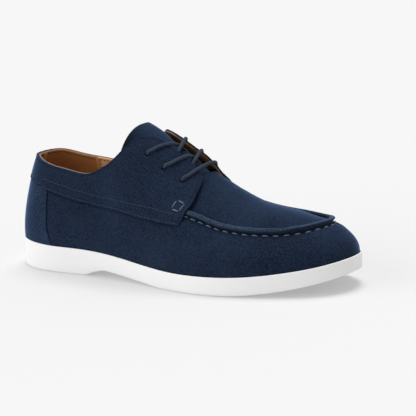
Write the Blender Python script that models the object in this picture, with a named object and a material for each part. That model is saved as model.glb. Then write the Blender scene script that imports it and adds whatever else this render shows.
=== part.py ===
"""Right shoe of a laced suede pair with a moccasin-style apron and a pale cup sole.

The pieces are the cup sole, the hollow upper, the insole, the tongue, the raised apron seam
and three rows of round lace. Sole and upper come from one last: a plan outline, the heights
of the sole and a row of curved sections from the feather edge up to the crest.

Sizes are in millimetres and become metres where a mesh is made. Along the shoe x runs from
the back of the heel to the toe, y is positive on the inner side of the foot, and z is up
from the floor. The finished model has its origin on the floor under the middle of the heel.
"""
import math
from collections import namedtuple

import bmesh
import bpy
import numpy as np

METRE = 0.001
HEEL_ORIGIN = 40.0          # from the back of the heel to the model's origin

# Thicknesses and clearances
GAP = 0.3                   # between pieces that meet
WALL = 2.2                  # suede and lining of the upper
LIP = 1.2                   # the cup sole's rim around the upper
CUP_DEPTH = 5.0             # how deep the upper and insole sit in the sole
INSOLE_THICK = 3.5
TONGUE_THICK = 2.0
TONGUE_CLEARANCE = 0.8      # under the facings
SOLE_EDGE_CHAMFER = 1.2
LACE_DIAMETER = 3.2
SEAM_WIDTH = 3.2
SEAM_HEIGHT = 3.4


def table(columns, rows):
    """Named columns of numbers with a row for each section."""
    return namedtuple("Table", columns)(*np.array(rows, float).T)


# Plan outline of the sole: the y of its outer and inner edge at each x
HEEL_POINT = (-0.6, 0.0)
TOE_POINT = (301.2, 3.9)
OUTLINE = table("x outer inner", [
    (7, -19.5, 19.8),
    (30, -33.5, 31.8),
    (60, -36.4, 33.1),
    (100, -37.4, 32.0),
    (140, -44.8, 37.4),
    (175, -52.9, 45.9),
    (205, -54.6, 50.5),
    (235, -49.1, 49.8),
    (262, -38.9, 44.9),
    (282, -27.5, 36.8),
    (296, -12.1, 24.6),
])

# Height of the cup sole's rim
SOLE_RIM = table("x height", [
    (0, 23.4),
    (27, 22.2),
    (45, 21.4),
    (75, 20.9),
    (105, 18.9),
    (138, 15.7),
    (171, 13.9),
    (200, 14.0),
    (224, 14.7),
    (246, 16.4),
    (267, 19.1),
    (285, 22.1),
    (301, 25.6),
])

# Underside: the heel block ends in a step up to the arch, which runs down to the forefoot
ARCH = table("x height", [
    (77.5, 0.0),
    (80.5, 0.4),
    (89, 3.5),
    (97, 5.3),
    (101, 5.3),
    (128, 2.6),
    (150, 0.6),
    (158, 0.0),
])
SPRING_START = 205.0
SPRING_LENGTH = 95.0
SPRING_HEIGHT = 13.4

# The last's sections: crest height, the share of that height where the side turns in, the
# share of the half width where the top turns down, and the outward lean of each side
SECTIONS = table("x crest side crown outer inner", [
    (38, 116.5, 0.24, 0.70, 1.5, 2.5),
    (60, 119.0, 0.34, 0.76, 1.5, 3.0),
    (90, 123.0, 0.46, 0.82, 1.5, 3.5),
    (120, 124.0, 0.54, 0.80, 1.5, 3.0),
    (140, 113.5, 0.55, 0.70, 1.5, 2.0),
    (156, 103.2, 0.55, 0.62, 2.0, 1.5),
    (172, 91.0, 0.52, 0.55, 2.5, 1.5),
    (188, 77.8, 0.50, 0.50, 3.0, 2.0),
    (204, 69.0, 0.48, 0.50, 3.0, 2.5),
    (219, 62.7, 0.48, 0.52, 3.0, 2.5),
    (243, 58.0, 0.50, 0.54, 2.5, 2.5),
])
CREST_LINE = table("x y", [(38, 0.0), (90, -1.0), (150, -1.5), (190, 0.5), (243, 3.0)])
End = namedtuple("End", "side crown lean")
HEEL_END = End(side=0.30, crown=0.37, lean=1.7)
TOE_END = End(side=0.54, crown=0.46, lean=1.0)

# Top edge of the upper: the collar by its height, then the throat by its half gap
COLLAR = table("x height", [
    (12, 90.5),
    (20, 91.2),
    (25, 91.0),
    (30, 89.8),
    (35, 88.3),
    (41, 86.8),
    (49, 85.3),
    (59, 84.1),
    (69, 82.7),
    (80, 81.7),
    (89, 82.9),
    (100, 87.7),
    (110, 94.1),
    (120, 103.2),
    (129, 110.6),
    (133, 112.0),
])
THROAT = table("x half_gap", [
    (133, 18.2),
    (138, 14.9),
    (143, 12.9),
    (150, 12.1),
    (157, 11.6),
    (163, 10.8),
    (170, 10.0),
    (177, 9.4),
    (181.5, 8.9),
    (185, 7.6),
])
THROAT_END = 188.0

# Tongue: half width along the shoe, and its top edge, which drops back at the sides
TONGUE = table("x half_width", [(108, 31.0), (140, 31.0), (170, 31.0), (188, 27.0), (202, 20.0)])
TONGUE_TOP = 124.0
TONGUE_SIDE_DROP = 13.0
TONGUE_DROP_CURVE = 1.7
TONGUE_FRONT = 202.0

# Raised apron seam: the y of its outer and inner run, which meet at the tip
APRON = table("x outer inner", [
    (183, -39.1, 35.0),
    (193, -37.9, 34.2),
    (205, -37.4, 33.6),
    (217, -35.8, 32.8),
    (229, -33.5, 32.0),
    (240, -30.9, 31.6),
    (251, -27.1, 30.9),
    (261, -21.8, 28.8),
    (269.5, -14.9, 24.3),
    (275.3, -6.3, 17.8),
])
APRON_TIP = (278.6, 5.5)

# Laces: the centre of the cord in plan, and its height above the last
LACE_BAR = table("x y lift", [
    (170.4, -26.6, 2.1),
    (172.8, -19.0, 2.1),
    (174.6, -12.0, 2.3),
    (175.6, -4.5, 2.9),
    (175.8, 3.0, 3.6),
    (174.8, 9.5, 3.1),
    (172.4, 16.5, 2.2),
    (168.4, 24.5, 2.1),
])
LACE_OVER_MIDDLE = table("x y lift", [
    (155.0, 27.7, 2.1),
    (159.6, 18.5, 2.2),
    (163.0, 11.5, 2.8),
    (164.8, 6.5, 3.5),
    (167.2, 0.5, 3.3),
    (168.9, -4.5, 1.8),
    (169.7, -7.6, 0.7),
])
LACE_UNDER_MIDDLE = table("x y lift", [
    (155.0, -27.7, 2.1),
    (159.8, -18.5, 2.1),
    (163.4, -11.5, 2.1),
    (165.2, -6.5, 1.4),
    (167.4, -0.5, 0.4),
    (169.2, 4.0, -0.7),
])
LACE_OVER_TOP = table("x y lift", [
    (139.7, 26.0, 2.1),
    (144.0, 19.8, 2.2),
    (147.8, 14.0, 2.8),
    (151.0, 8.5, 3.5),
    (154.6, 2.0, 3.3),
    (157.2, -4.5, 1.8),
    (158.6, -8.6, 0.8),
])
LACE_UNDER_TOP = table("x y lift", [
    (139.7, -26.0, 2.1),
    (144.2, -19.5, 2.1),
    (148.4, -13.4, 2.1),
    (151.8, -8.0, 1.4),
    (155.4, -1.5, 0.4),
    (158.4, 3.6, -0.7),
])

# Mesh density
HEEL_STEPS = 8
TOE_STEPS = 10
BODY_STEP = 8.75
SHORTEST_STEP = 1.6
UPPER_LEVELS = 11
EXTRA_STATIONS = (50, 60, 69, 108, 115, 122, 195)     # where the collar and apron bend most
SOLE_STRIPS = 5
TONGUE_ROWS = 16
TONGUE_COLUMNS = 14
SEAM_STEPS = 56
LACE_STEPS = 16
LACE_SIDES = 8
WELD = 0.01                 # points nearer than this become one

OUTER, INNER = -1, 1


# ---------------------------------------------------------------- curves

def spline(knots, values, at):
    """Natural cubic curve through the values at the knots."""
    knots = np.asarray(knots, float)
    values = np.asarray(values, float)
    steps = np.diff(knots)
    slopes = np.diff(values, axis=0) / steps.reshape(-1, *[1] * (values.ndim - 1))
    system = np.eye(len(knots))
    bend = np.zeros(values.shape)
    for i in range(1, len(knots) - 1):
        system[i, i - 1:i + 2] = steps[i - 1], 2 * (steps[i - 1] + steps[i]), steps[i]
        bend[i] = 6 * (slopes[i] - slopes[i - 1])
    bend = np.linalg.solve(system, bend)
    at = np.clip(at, knots[0], knots[-1])
    i = np.clip(np.searchsorted(knots, at) - 1, 0, len(steps) - 1)
    a = (knots[i + 1] - at) / steps[i]
    b = 1 - a
    width = steps[i] ** 2 / 6
    if values.ndim > 1:
        a, b, width = (np.expand_dims(v, -1) for v in (a, b, width))
    curve = a * values[i] + b * values[i + 1]
    return curve + ((a ** 3 - a) * bend[i] + (b ** 3 - b) * bend[i + 1]) * width


def lengths(points):
    """Distance along a run of points."""
    return np.r_[0, np.cumsum(np.linalg.norm(np.diff(points, axis=0), axis=1))]


def closed_curve(points, count):
    """Smooth closed curve through the points, which wrap round at both ends."""
    wrap = 4
    run = np.vstack([points[-wrap:], points, points[:wrap + 1]])
    along = lengths(run)
    return spline(along, run, np.linspace(along[wrap], along[wrap + len(points)], count, endpoint=False))


def open_curve(points, count):
    """Smooth curve through the points at even steps."""
    along = lengths(points)
    return spline(along, points, np.linspace(0, along[-1], count))


def plan_outline():
    """The sole's outline as a dense closed curve, round by the outer side."""
    outer = np.c_[OUTLINE.x, OUTLINE.outer]
    inner = np.c_[OUTLINE.x, OUTLINE.inner]
    return closed_curve(np.vstack([[HEEL_POINT], outer, [TOE_POINT], inner[::-1]]), 1440)


PLAN = plan_outline()


def sole_rim(x):
    return spline(SOLE_RIM.x, SOLE_RIM.height, x)


def sole_bottom(x):
    spring = SPRING_HEIGHT * (np.clip(x - SPRING_START, 0, None) / SPRING_LENGTH) ** 2
    return np.interp(x, ARCH.x, ARCH.height) + spring


def crest(x):
    return spline(SECTIONS.x, SECTIONS.crest, x)


def crest_slope(x):
    low, high = np.clip([x - 0.5, x + 0.5], SECTIONS.x[0], SECTIONS.x[-1])
    return float(crest(high) - crest(low)) / (high - low)


def crest_y(x):
    return float(spline(CREST_LINE.x, CREST_LINE.y, x))


# ---------------------------------------------------------------- the last

HEEL_X, TOE_X = SECTIONS.x[0], SECTIONS.x[-1]
SEARCH_LEVELS = 400         # samples of a section when a level is looked up
SIDE_LEVEL = 0.2            # every looked-up level lies above this one
CREST_BLEND = 0.9           # above this level directions turn to the crest's own
Station = namedtuple("Station", "centre heading edge outward section")


def edge_of_plan(centre, heading):
    """Where a line from the centre leaves the outline, and the outline's normal there."""
    start = PLAN - centre
    run = np.roll(PLAN, -1, axis=0) - PLAN
    cross = heading[1] * run[:, 0] - heading[0] * run[:, 1]
    cross[abs(cross) < 1e-12] = 1e-12
    reach = (start[:, 1] * run[:, 0] - start[:, 0] * run[:, 1]) / cross
    share = (start[:, 1] * heading[0] - start[:, 0] * heading[1]) / cross
    on_edge = (share >= -1e-9) & (share <= 1 + 1e-9) & (reach > 0)
    k = np.where(on_edge)[0][np.argmax(reach[on_edge])]
    outward = np.array([run[k, 1], -run[k, 0]]) / np.linalg.norm(run[k])
    if outward @ heading < 0:
        outward = -outward
    return centre + reach[k] * heading, outward


def station(place, side):
    """A section's plane: a fan at the heel (0 to 1), the body (1 to 2), a fan at the toe (2 to 3)."""
    x = HEEL_X + (TOE_X - HEEL_X) * min(max(place - 1, 0), 1)
    angle = math.pi / 2 * (1 + max(1 - place, 0) - max(place - 2, 0))
    centre = np.array([x, crest_y(x)])
    heading = np.array([math.cos(angle), side * math.sin(angle)])
    lean = SECTIONS.outer if side == OUTER else SECTIONS.inner
    shape = [float(spline(SECTIONS.x, column, x)) for column in (SECTIONS.side, SECTIONS.crown, lean)]
    end = HEEL_END if place < 1 else TOE_END
    toward_end = max(1 - place, place - 2, 0)
    blend = (1 - math.cos(math.pi * toward_end)) / 2
    high, crown, lean = (body + (tip - body) * blend for body, tip in zip(shape, end))
    edge, outward = edge_of_plan(centre, heading)
    foot = edge - outward * (LIP + GAP)
    reach = (foot - centre) @ heading
    base = float(sole_rim(foot[0]))
    top = float(crest(x))
    rise = top - base
    fall = crest_slope(x) * heading[0] if place > 2 else 0.0
    section = np.array([
        (reach, base),
        (reach + lean, base + high * rise),
        (crown * reach, top + fall * crown * reach),
        (0, top),
    ])
    skew = (foot - centre - heading * reach) / reach
    return Station(centre, heading + skew, edge, outward, section)


def place_of(x):
    """The body station at a distance along the shoe."""
    return 1 + (x - HEEL_X) / (TOE_X - HEEL_X)


def raw_surface(place, side, levels):
    """Points on the last at one station, by levels from 0 at the sole to 1 at the crest."""
    here = station(place, side)
    t = np.atleast_1d(levels)[:, None]
    a, b, c, d = here.section
    flat = (1 - t) ** 3 * a + 3 * (1 - t) ** 2 * t * b + 3 * (1 - t) * t ** 2 * c + t ** 3 * d
    return np.c_[here.centre + flat[:, :1] * here.heading, flat[:, 1]]


def normals(place, side, levels):
    """Outward directions of the last."""
    step = 0.001
    t = np.clip(levels, step, 0.985)
    low, high = max(place - step, 0), min(place + step, 3)
    along = raw_surface(high, side, t) - raw_surface(low, side, t)
    if place < step or place > 3 - step:
        turn = station(place, side).outward
        along = np.tile([side * turn[1], -side * turn[0], 0], (len(t), 1))
    up = raw_surface(place, side, t + step) - raw_surface(place, side, t - step)
    out = np.cross(along, up) * -side
    out /= np.linalg.norm(out, axis=1)[:, None]
    x = station(place, side).centre[0]
    ridge = np.array([-crest_slope(x), 0, 1])
    ridge /= np.linalg.norm(ridge)
    near_crest = np.clip((np.asarray(levels) - CREST_BLEND) / (1 - CREST_BLEND), 0, 1)[:, None] ** 2
    out = out * (1 - near_crest) + ridge * near_crest
    return out / np.linalg.norm(out, axis=1)[:, None]


def surface(place, side, levels, lift=0.0):
    """Points at a height above the last, negative inside it."""
    levels = np.atleast_1d(np.asarray(levels, float))
    return raw_surface(place, side, levels) + normals(place, side, levels) * lift


def level_at_reach(place, side, reach):
    """The level where a section is this far out from the crest line."""
    t = np.linspace(SIDE_LEVEL, 1, SEARCH_LEVELS)
    here = station(place, side)
    out = np.linalg.norm(raw_surface(place, side, t)[:, :2] - here.centre, axis=1)
    return float(np.interp(-reach, -out, t))


def over(x, y, lift):
    """The point at a height above the last over a place in plan."""
    side = OUTER if y < crest_y(min(max(x, HEEL_X), TOE_X)) else INNER
    if x <= TOE_X:
        place, reach = place_of(x), abs(y - crest_y(x))
    else:
        out = np.array([x - TOE_X, y - crest_y(TOE_X)])
        place, reach = 2 + math.atan2(out[0], abs(out[1])) / (math.pi / 2), np.linalg.norm(out)
    level = level_at_reach(place, side, reach)
    return surface(place, side, [level], lift)[0]


def over_direction(x, y):
    """The last's outward direction over a place in plan."""
    out = over(x, y, 1.0) - over(x, y, 0.0)
    return out / np.linalg.norm(out)


def top_level(place, side):
    """The level of the collar or throat edge; 1 where the upper is closed."""
    if place >= place_of(THROAT_END) - 1e-6:
        return 1.0
    x = HEEL_X + (TOE_X - HEEL_X) * (place - 1)
    if place > 1 and x >= THROAT.x[0]:
        return level_at_reach(place, side, float(spline(THROAT.x, THROAT.half_gap, x)))
    t = np.linspace(SIDE_LEVEL, 1, SEARCH_LEVELS)
    points = raw_surface(place, side, t)
    short = points[:, 2] - spline(COLLAR.x, COLLAR.height, points[:, 0])
    return float(np.interp(0, short, t))


# ---------------------------------------------------------------- meshes

def stations():
    """Places of the sections from the heel to the toe, with the sole's breaks among them."""
    breaks = np.r_[HEEL_X, EXTRA_STATIONS, ARCH.x, THROAT.x, THROAT_END, TOE_X]
    breaks = np.unique(breaks[(breaks >= HEEL_X) & (breaks <= TOE_X)])
    body = [breaks[0]]
    for x in breaks[1:]:
        if x - body[-1] < SHORTEST_STEP:
            continue
        pieces = math.ceil((x - body[-1]) / BODY_STEP)
        body.extend(np.linspace(body[-1], x, pieces + 1)[1:])
    heel = np.linspace(0, 1, HEEL_STEPS + 1)[:-1]
    toe = np.linspace(2, 3, TOE_STEPS + 1)[1:]
    return np.r_[heel, [place_of(x) for x in body], toe]


PLACES = stations()


def material(name, colour, roughness):
    """A plain finish for one piece."""
    finish = bpy.data.materials.new(name)
    finish.use_nodes = True
    shader = finish.node_tree.nodes["Principled BSDF"]
    shader.inputs["Base Color"].default_value = (*colour, 1)
    shader.inputs["Roughness"].default_value = roughness
    shader.inputs["Metallic"].default_value = 0
    return finish


def piece(name, points, faces, finish, sharp_angle=40):
    """A named object from points in millimetres, welded and facing outwards."""
    place = np.asarray(points) - [HEEL_ORIGIN, 0, 0]
    mesh = bpy.data.meshes.new(name)
    mesh.from_pydata((place * METRE).tolist(), [], faces)
    shape = bmesh.new()
    shape.from_mesh(mesh)
    bmesh.ops.remove_doubles(shape, verts=shape.verts, dist=WELD * METRE)
    bmesh.ops.recalc_face_normals(shape, faces=shape.faces)
    shape.to_mesh(mesh)
    shape.free()
    mesh.materials.append(finish)
    mesh.shade_smooth()
    mesh.set_sharp_from_angle(angle=math.radians(sharp_angle))
    thing = bpy.data.objects.new(name, mesh)
    bpy.context.collection.objects.link(thing)
    return thing


def ring():
    """Every section once, down the outer side to the toe and back up the inner side."""
    return [(place, OUTER) for place in PLACES] + [(place, INNER) for place in PLACES[-2:0:-1]]


def inset(here, distance):
    """A point of the plan, moved in from the sole's edge."""
    return here.edge - here.outward * distance


def wrap_faces(rows, count, closed=True):
    """Quads between neighbouring rows of points, each with the same count."""
    faces = []
    for k in range(rows if closed else rows - 1):
        following = (k + 1) % rows
        for j in range(count - 1):
            first, second = k * count + j, following * count + j
            faces.append((first, second, second + 1, first + 1))
    return faces


def deck(places, distance, height):
    """Points of a floor across the sole: a row of strips between the two edges."""
    points = []
    for place in places:
        outer = inset(station(place, OUTER), distance)
        inner = inset(station(place, INNER), distance)
        share = np.linspace(0, 1, SOLE_STRIPS + 1)[:, None]
        across = outer + (inner - outer) * share
        points.extend(np.c_[across, height(across[:, 0])])
    return points


def slab(name, profile, distances, low, high, finish):
    """A piece of the sole's plan: a wall with a profile and a deck closing each of its edges."""
    columns = ring()
    walls = []
    for place, side in columns:
        here = station(place, side)
        for distance, height in profile:
            spot = inset(here, distance)
            walls.append((*spot, float(height(spot[0]))))
    points = list(walls)
    faces = wrap_faces(len(columns), len(profile))
    for distance, height in ((distances[0], low), (distances[1], high)):
        base = len(points)
        points.extend(deck(PLACES, distance, height))
        strip = wrap_faces(len(PLACES), SOLE_STRIPS + 1, closed=False)
        faces.extend(tuple(base + k for k in face) for face in strip)
    return piece(name, points, faces, finish)


# ---------------------------------------------------------------- pieces

def make_outsole(finish):
    """Cup sole with its rim, the recess for the upper, the heel block, arch and toe spring."""
    def chamfer_top(x):
        return sole_bottom(x) + SOLE_EDGE_CHAMFER

    def recess(x):
        return sole_rim(x) - CUP_DEPTH

    profile = [
        (SOLE_EDGE_CHAMFER, sole_bottom),
        (0, chamfer_top),
        (0, sole_rim),
        (LIP, sole_rim),
        (LIP, recess),
    ]
    return slab("outsole", profile, (SOLE_EDGE_CHAMFER, LIP), sole_bottom, recess, finish)


def make_insole(finish):
    """Flat footbed inside the upper, on the recess of the sole."""
    edge = LIP + GAP + WALL + GAP

    def underside(x):
        return sole_rim(x) - CUP_DEPTH + GAP

    def footbed(x):
        return underside(x) + INSOLE_THICK

    profile = [(edge, underside), (edge, footbed)]
    return slab("insole", profile, (edge, edge), underside, footbed, finish)


def make_upper(finish):
    """Hollow upper: an outer and an inner skin, open at the collar, throat and underneath."""
    columns = ring()
    tops = [top_level(place, side) for place, side in columns]
    count = UPPER_LEVELS + 1
    skins = []
    for depth in (0, WALL):
        for (place, side), top in zip(columns, tops):
            here = station(place, side)
            foot = inset(here, LIP + GAP + depth)
            skins.append((*foot, float(sole_rim(foot[0])) - CUP_DEPTH + GAP))
            skins.extend(surface(place, side, np.linspace(0, top, UPPER_LEVELS), -depth))
    rows = len(columns)
    inner_start = rows * count
    faces = wrap_faces(rows, count)
    faces.extend(tuple(inner_start + k for k in face) for face in wrap_faces(rows, count))
    for k in range(rows):
        following = (k + 1) % rows
        edges = [0]
        if min(tops[k], tops[following]) < 1:
            edges.append(count - 1)
        for j in edges:
            first, second = k * count + j, following * count + j
            faces.append((first, second, inner_start + second, inner_start + first))
    return piece("upper", skins, faces, finish)


def tongue_top(share):
    """Where the tongue's top edge lies at a share of its half width."""
    return TONGUE_TOP - TONGUE_SIDE_DROP * abs(share) ** TONGUE_DROP_CURVE


def make_tongue(finish):
    """Curved tongue under the facings, from its free top edge to under the apron."""
    count = TONGUE_COLUMNS + 1
    points = []
    for depth in (WALL + TONGUE_CLEARANCE, WALL + TONGUE_CLEARANCE + TONGUE_THICK):
        for along in np.linspace(0, 1, TONGUE_ROWS + 1):
            for share in np.linspace(-1, 1, count):
                top = tongue_top(share)
                x = top + (TONGUE_FRONT - top) * along
                width = float(spline(TONGUE.x, TONGUE.half_width, x))
                points.append(over(x, crest_y(x) + share * width, -depth))
    rows = TONGUE_ROWS + 1
    under = rows * count
    faces = wrap_faces(rows, count, closed=False)
    faces.extend(tuple(under + k for k in face) for face in wrap_faces(rows, count, closed=False))
    border = [(k * count, (k + 1) * count) for k in range(rows - 1)]
    border += [(k * count + count - 1, (k + 1) * count + count - 1) for k in range(rows - 1)]
    border += [(j, j + 1) for j in range(count - 1)]
    border += [((rows - 1) * count + j, (rows - 1) * count + j + 1) for j in range(count - 1)]
    faces.extend((first, second, under + second, under + first) for first, second in border)
    return piece("tongue", points, faces, finish)


def sweep(name, places, section, finish):
    """A closed bar along places of x, y and height over the last, with a section of (side, up)."""
    centres = np.array([over(*place) for place in places])
    ups = np.array([over_direction(place[0], place[1]) for place in places])
    ways = np.gradient(centres, axis=0)
    ways /= np.linalg.norm(ways, axis=1)[:, None]
    sides = np.cross(ups, ways)
    sides /= np.linalg.norm(sides, axis=1)[:, None]
    ups = np.cross(ways, sides)
    points = []
    for centre, side, up in zip(centres, sides, ups):
        points.extend(centre + side * across + up * high for across, high in section)
    count = len(section)
    faces = []
    for k in range(len(places) - 1):
        for j in range(count):
            first, second = k * count + j, k * count + (j + 1) % count
            faces.append((first, second, second + count, first + count))
    faces.append(tuple(range(count)))
    faces.append(tuple(range(len(points) - count, len(points))))
    return piece(name, points, faces, finish)


def make_seam(finish):
    """Raised apron seam, from one facing round the toe to the other."""
    outer = np.c_[APRON.x, APRON.outer]
    inner = np.c_[APRON.x, APRON.inner]
    path = open_curve(np.vstack([outer, [APRON_TIP], inner[::-1]]), SEAM_STEPS + 1)
    base, shoulder = GAP, SEAM_HEIGHT * 0.6
    half, crown = SEAM_WIDTH / 2, SEAM_WIDTH / 4
    section = [
        (-half, base),
        (half, base),
        (half, shoulder),
        (crown, SEAM_HEIGHT),
        (-crown, SEAM_HEIGHT),
        (-half, shoulder),
    ]
    places = [(x, y, 0) for x, y in path]
    return sweep("apron_seam", places, section, finish)


def make_lace(name, route, finish):
    """One round cord along a route over the facings."""
    path = open_curve(np.c_[route.x, route.y, route.lift], LACE_STEPS + 1)
    turns = np.arange(LACE_SIDES) * 2 * math.pi / LACE_SIDES
    section = [(LACE_DIAMETER / 2 * math.cos(a), LACE_DIAMETER / 2 * math.sin(a)) for a in turns]
    return sweep(name, path, section, finish)


def make_crossing(name, over_route, under_route, finish):
    """Two cords joined where one passes over the other."""
    crossing = make_lace(name, over_route, finish)
    lower = make_lace(name + "_lower", under_route, finish)
    lower.hide_render = True
    lower.display_type = "WIRE"
    joint = crossing.modifiers.new("join", "BOOLEAN")
    joint.operation = "UNION"
    joint.object = lower
    return crossing


def main():
    for thing in list(bpy.data.objects):
        bpy.data.objects.remove(thing, do_unlink=True)
    suede = (0.014, 0.024, 0.046)
    cord = (0.038, 0.050, 0.072)
    make_outsole(material("sole_rubber", (0.86, 0.86, 0.86), 0.55))
    make_upper(material("upper_suede", suede, 0.95))
    make_insole(material("insole_leather", (0.36, 0.20, 0.09), 0.70))
    make_tongue(material("tongue_suede", suede, 0.95))
    make_seam(material("seam_suede", suede, 0.95))
    make_lace("lace_bar", LACE_BAR, material("bar_cord", cord, 0.80))
    make_crossing("lace_cross_middle", LACE_OVER_MIDDLE, LACE_UNDER_MIDDLE,
                  material("middle_cord", cord, 0.80))
    make_crossing("lace_cross_top", LACE_OVER_TOP, LACE_UNDER_TOP,
                  material("top_cord", cord, 0.80))


main()
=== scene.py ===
"""Looks of a right laced suede shoe: suede upper with a raised apron seam, tan leather inside,
round laces and a white cup sole.

Sizes are in millimetres and become metres where a mesh is made. Along the shoe x runs from
the back of the heel to the toe, y is positive on the inner side of the foot, and z is up
from the floor. The upper's pieces lie on one last: a signed place says where round the shoe
a section stands (0 at the back of the heel, 1 to 2 along the foot, 3 at the tip of the toe,
negative on the outer side), and a level runs from 0 at the sole to 1 at the crest.
"""
import math
from collections import namedtuple

import bmesh
import bpy
import numpy as np
from mathutils import Matrix, Vector
from mathutils.kdtree import KDTree


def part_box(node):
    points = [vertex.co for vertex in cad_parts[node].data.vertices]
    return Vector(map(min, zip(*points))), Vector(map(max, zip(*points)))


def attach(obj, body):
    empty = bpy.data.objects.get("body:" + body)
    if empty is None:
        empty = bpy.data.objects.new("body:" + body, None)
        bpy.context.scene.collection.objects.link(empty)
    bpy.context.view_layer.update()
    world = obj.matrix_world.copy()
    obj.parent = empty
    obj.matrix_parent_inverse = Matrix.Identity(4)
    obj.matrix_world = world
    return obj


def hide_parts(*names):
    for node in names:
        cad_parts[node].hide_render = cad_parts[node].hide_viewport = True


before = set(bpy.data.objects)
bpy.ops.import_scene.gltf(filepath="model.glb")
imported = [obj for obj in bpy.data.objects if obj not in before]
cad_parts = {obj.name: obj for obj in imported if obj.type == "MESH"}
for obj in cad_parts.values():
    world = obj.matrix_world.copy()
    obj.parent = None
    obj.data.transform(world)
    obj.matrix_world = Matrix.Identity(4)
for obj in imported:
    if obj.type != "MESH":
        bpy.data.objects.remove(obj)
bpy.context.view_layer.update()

METRE = 0.001
OUTER, INNER = -1, 1

# Thicknesses and clearances
GAP = 0.3
WALL = 2.2                  # suede and lining together
LIP = 1.2                   # the cup sole's rim around the upper
CUP_DEPTH = 5.0             # depth of the sole's recess below its rim
INSOLE_THICK = 3.5
TONGUE_THICK = 2.0
TONGUE_CLEARANCE = 0.8      # between the tongue and the lining over it
LINING = 1.1                # thickness of the lining alone
QUARTER_SHEET = 0.75        # thickness of the suede, piece by piece
APRON_SHEET = 0.9
TONGUE_SHEET = 1.1
UNDER = 0.03                # left between a piece of suede and the one it lies on
PANEL_LIFT = 0.8            # outer face of the quarter panel over the last
QUARTER_LIFT = -0.3         # the quarter's own face, under and below the panel
BACKSTAY_LIFT = 0.55
CORD_RADIUS = 1.5
CORD_SIDES = 16
CUTTER_SIDES = 28
CORD_STEP = 0.65            # length of the lace from one ring of points to the next
EYELET_RADIUS = 2.2
LINING_HOLE_RADIUS = 3.1
PUNCH_LENGTH = 9.0
SHARP_ANGLE = math.radians(50)
SWEEP_UV_STEP = 10          # length of a swept bar to one unit of its UV

# Stitches: the distance from one to the next, and their length and radius
STITCH_PITCH = 8.2          # running stitches along the apron seam
STITCH_LENGTH = 4.5
STITCH_RADIUS = 0.5
STITCH_START = 6.6
FINE_PITCH = 2.55           # stitches on the quarter panel
FINE_STITCH = (1.5, 0.29)
BOX_STITCH = (6.1, 0.46)
RIM_LINING_PITCH = 3.1      # stitches inside, below the rim and up the heel grip's seams
SEAM_LINING_PITCH = 3.0
LINING_STITCH = (2.1, 0.36)
THREAD_LIFT = 0.08          # a fine thread's middle over the panel
LOW_ROWS = 3                # the panel's rows that aren't at its rim

# Soft flex creases over the apron: place along the shoe, half width and depth
CREASES = [(197.0, 20.0, 0.22), (206.0, 24.0, 0.16)]


def table(columns, rows):
    """Named columns of numbers with a row for each section."""
    return namedtuple("Table", columns)(*np.array(rows, float).T)


# ---------------------------------------------------------------- the last

# Plan outline of the sole: the y of its outer and inner edge at each x
HEEL_POINT = (-0.6, 0.0)
TOE_POINT = (301.2, 3.9)
OUTLINE = table("x outer inner", [
    (7, -19.5, 19.8), (30, -33.5, 31.8), (60, -36.4, 33.1), (100, -37.4, 32.0), (140, -44.8, 37.4),
    (175, -52.9, 45.9), (205, -54.6, 50.5), (235, -49.1, 49.8), (262, -38.9, 44.9),
    (282, -27.5, 36.8), (296, -12.1, 24.6),
])
OUTLINE_POINTS = 1440
# How far the shoe moves back, so that its sole begins where the frame's does
HEEL_ORIGIN = HEEL_POINT[0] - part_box("outsole")[0][0] / METRE

# Height of the cup sole's rim
SOLE_RIM = table("x height", [
    (0, 23.4), (27, 22.2), (45, 21.4), (75, 20.9), (105, 18.9), (138, 15.7), (171, 13.9),
    (200, 14.0), (224, 14.7), (246, 16.4), (267, 19.1), (285, 22.1), (301, 25.6),
])

# Underside: the heel block ends in a step up to the arch, which runs down to the forefoot
ARCH = table("x height", [
    (77.5, 0.0), (80.5, 0.4), (89, 3.5), (97, 5.3), (101, 5.3), (128, 2.6), (150, 0.6), (158, 0.0),
])
SPRING_START = 205.0
SPRING_LENGTH = 95.0
SPRING_HEIGHT = 13.4

# The last's sections: crest height, the share of that height where the side turns in, the
# share of the half width where the top turns down, and the outward lean of each side
SECTIONS = table("x crest side crown outer inner", [
    (38, 116.5, 0.24, 0.70, 1.5, 2.5), (60, 119.0, 0.34, 0.76, 1.5, 3.0),
    (90, 123.0, 0.46, 0.82, 1.5, 3.5), (120, 124.0, 0.54, 0.80, 1.5, 3.0),
    (140, 113.5, 0.55, 0.70, 1.5, 2.0), (156, 103.2, 0.55, 0.62, 2.0, 1.5),
    (172, 91.0, 0.52, 0.55, 2.5, 1.5), (188, 77.8, 0.50, 0.50, 3.0, 2.0),
    (204, 69.0, 0.48, 0.50, 3.0, 2.5), (219, 62.7, 0.48, 0.52, 3.0, 2.5),
    (243, 58.0, 0.50, 0.54, 2.5, 2.5),
])
CREST_LINE = table("x y", [(38, 0.0), (90, -1.0), (150, -1.5), (190, 0.5), (243, 3.0)])
HEEL_X, TOE_X = SECTIONS.x[0], SECTIONS.x[-1]
End = namedtuple("End", "side crown lean")
HEEL_END = End(side=0.30, crown=0.37, lean=1.7)
TOE_END = End(side=0.54, crown=0.46, lean=1.0)

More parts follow.
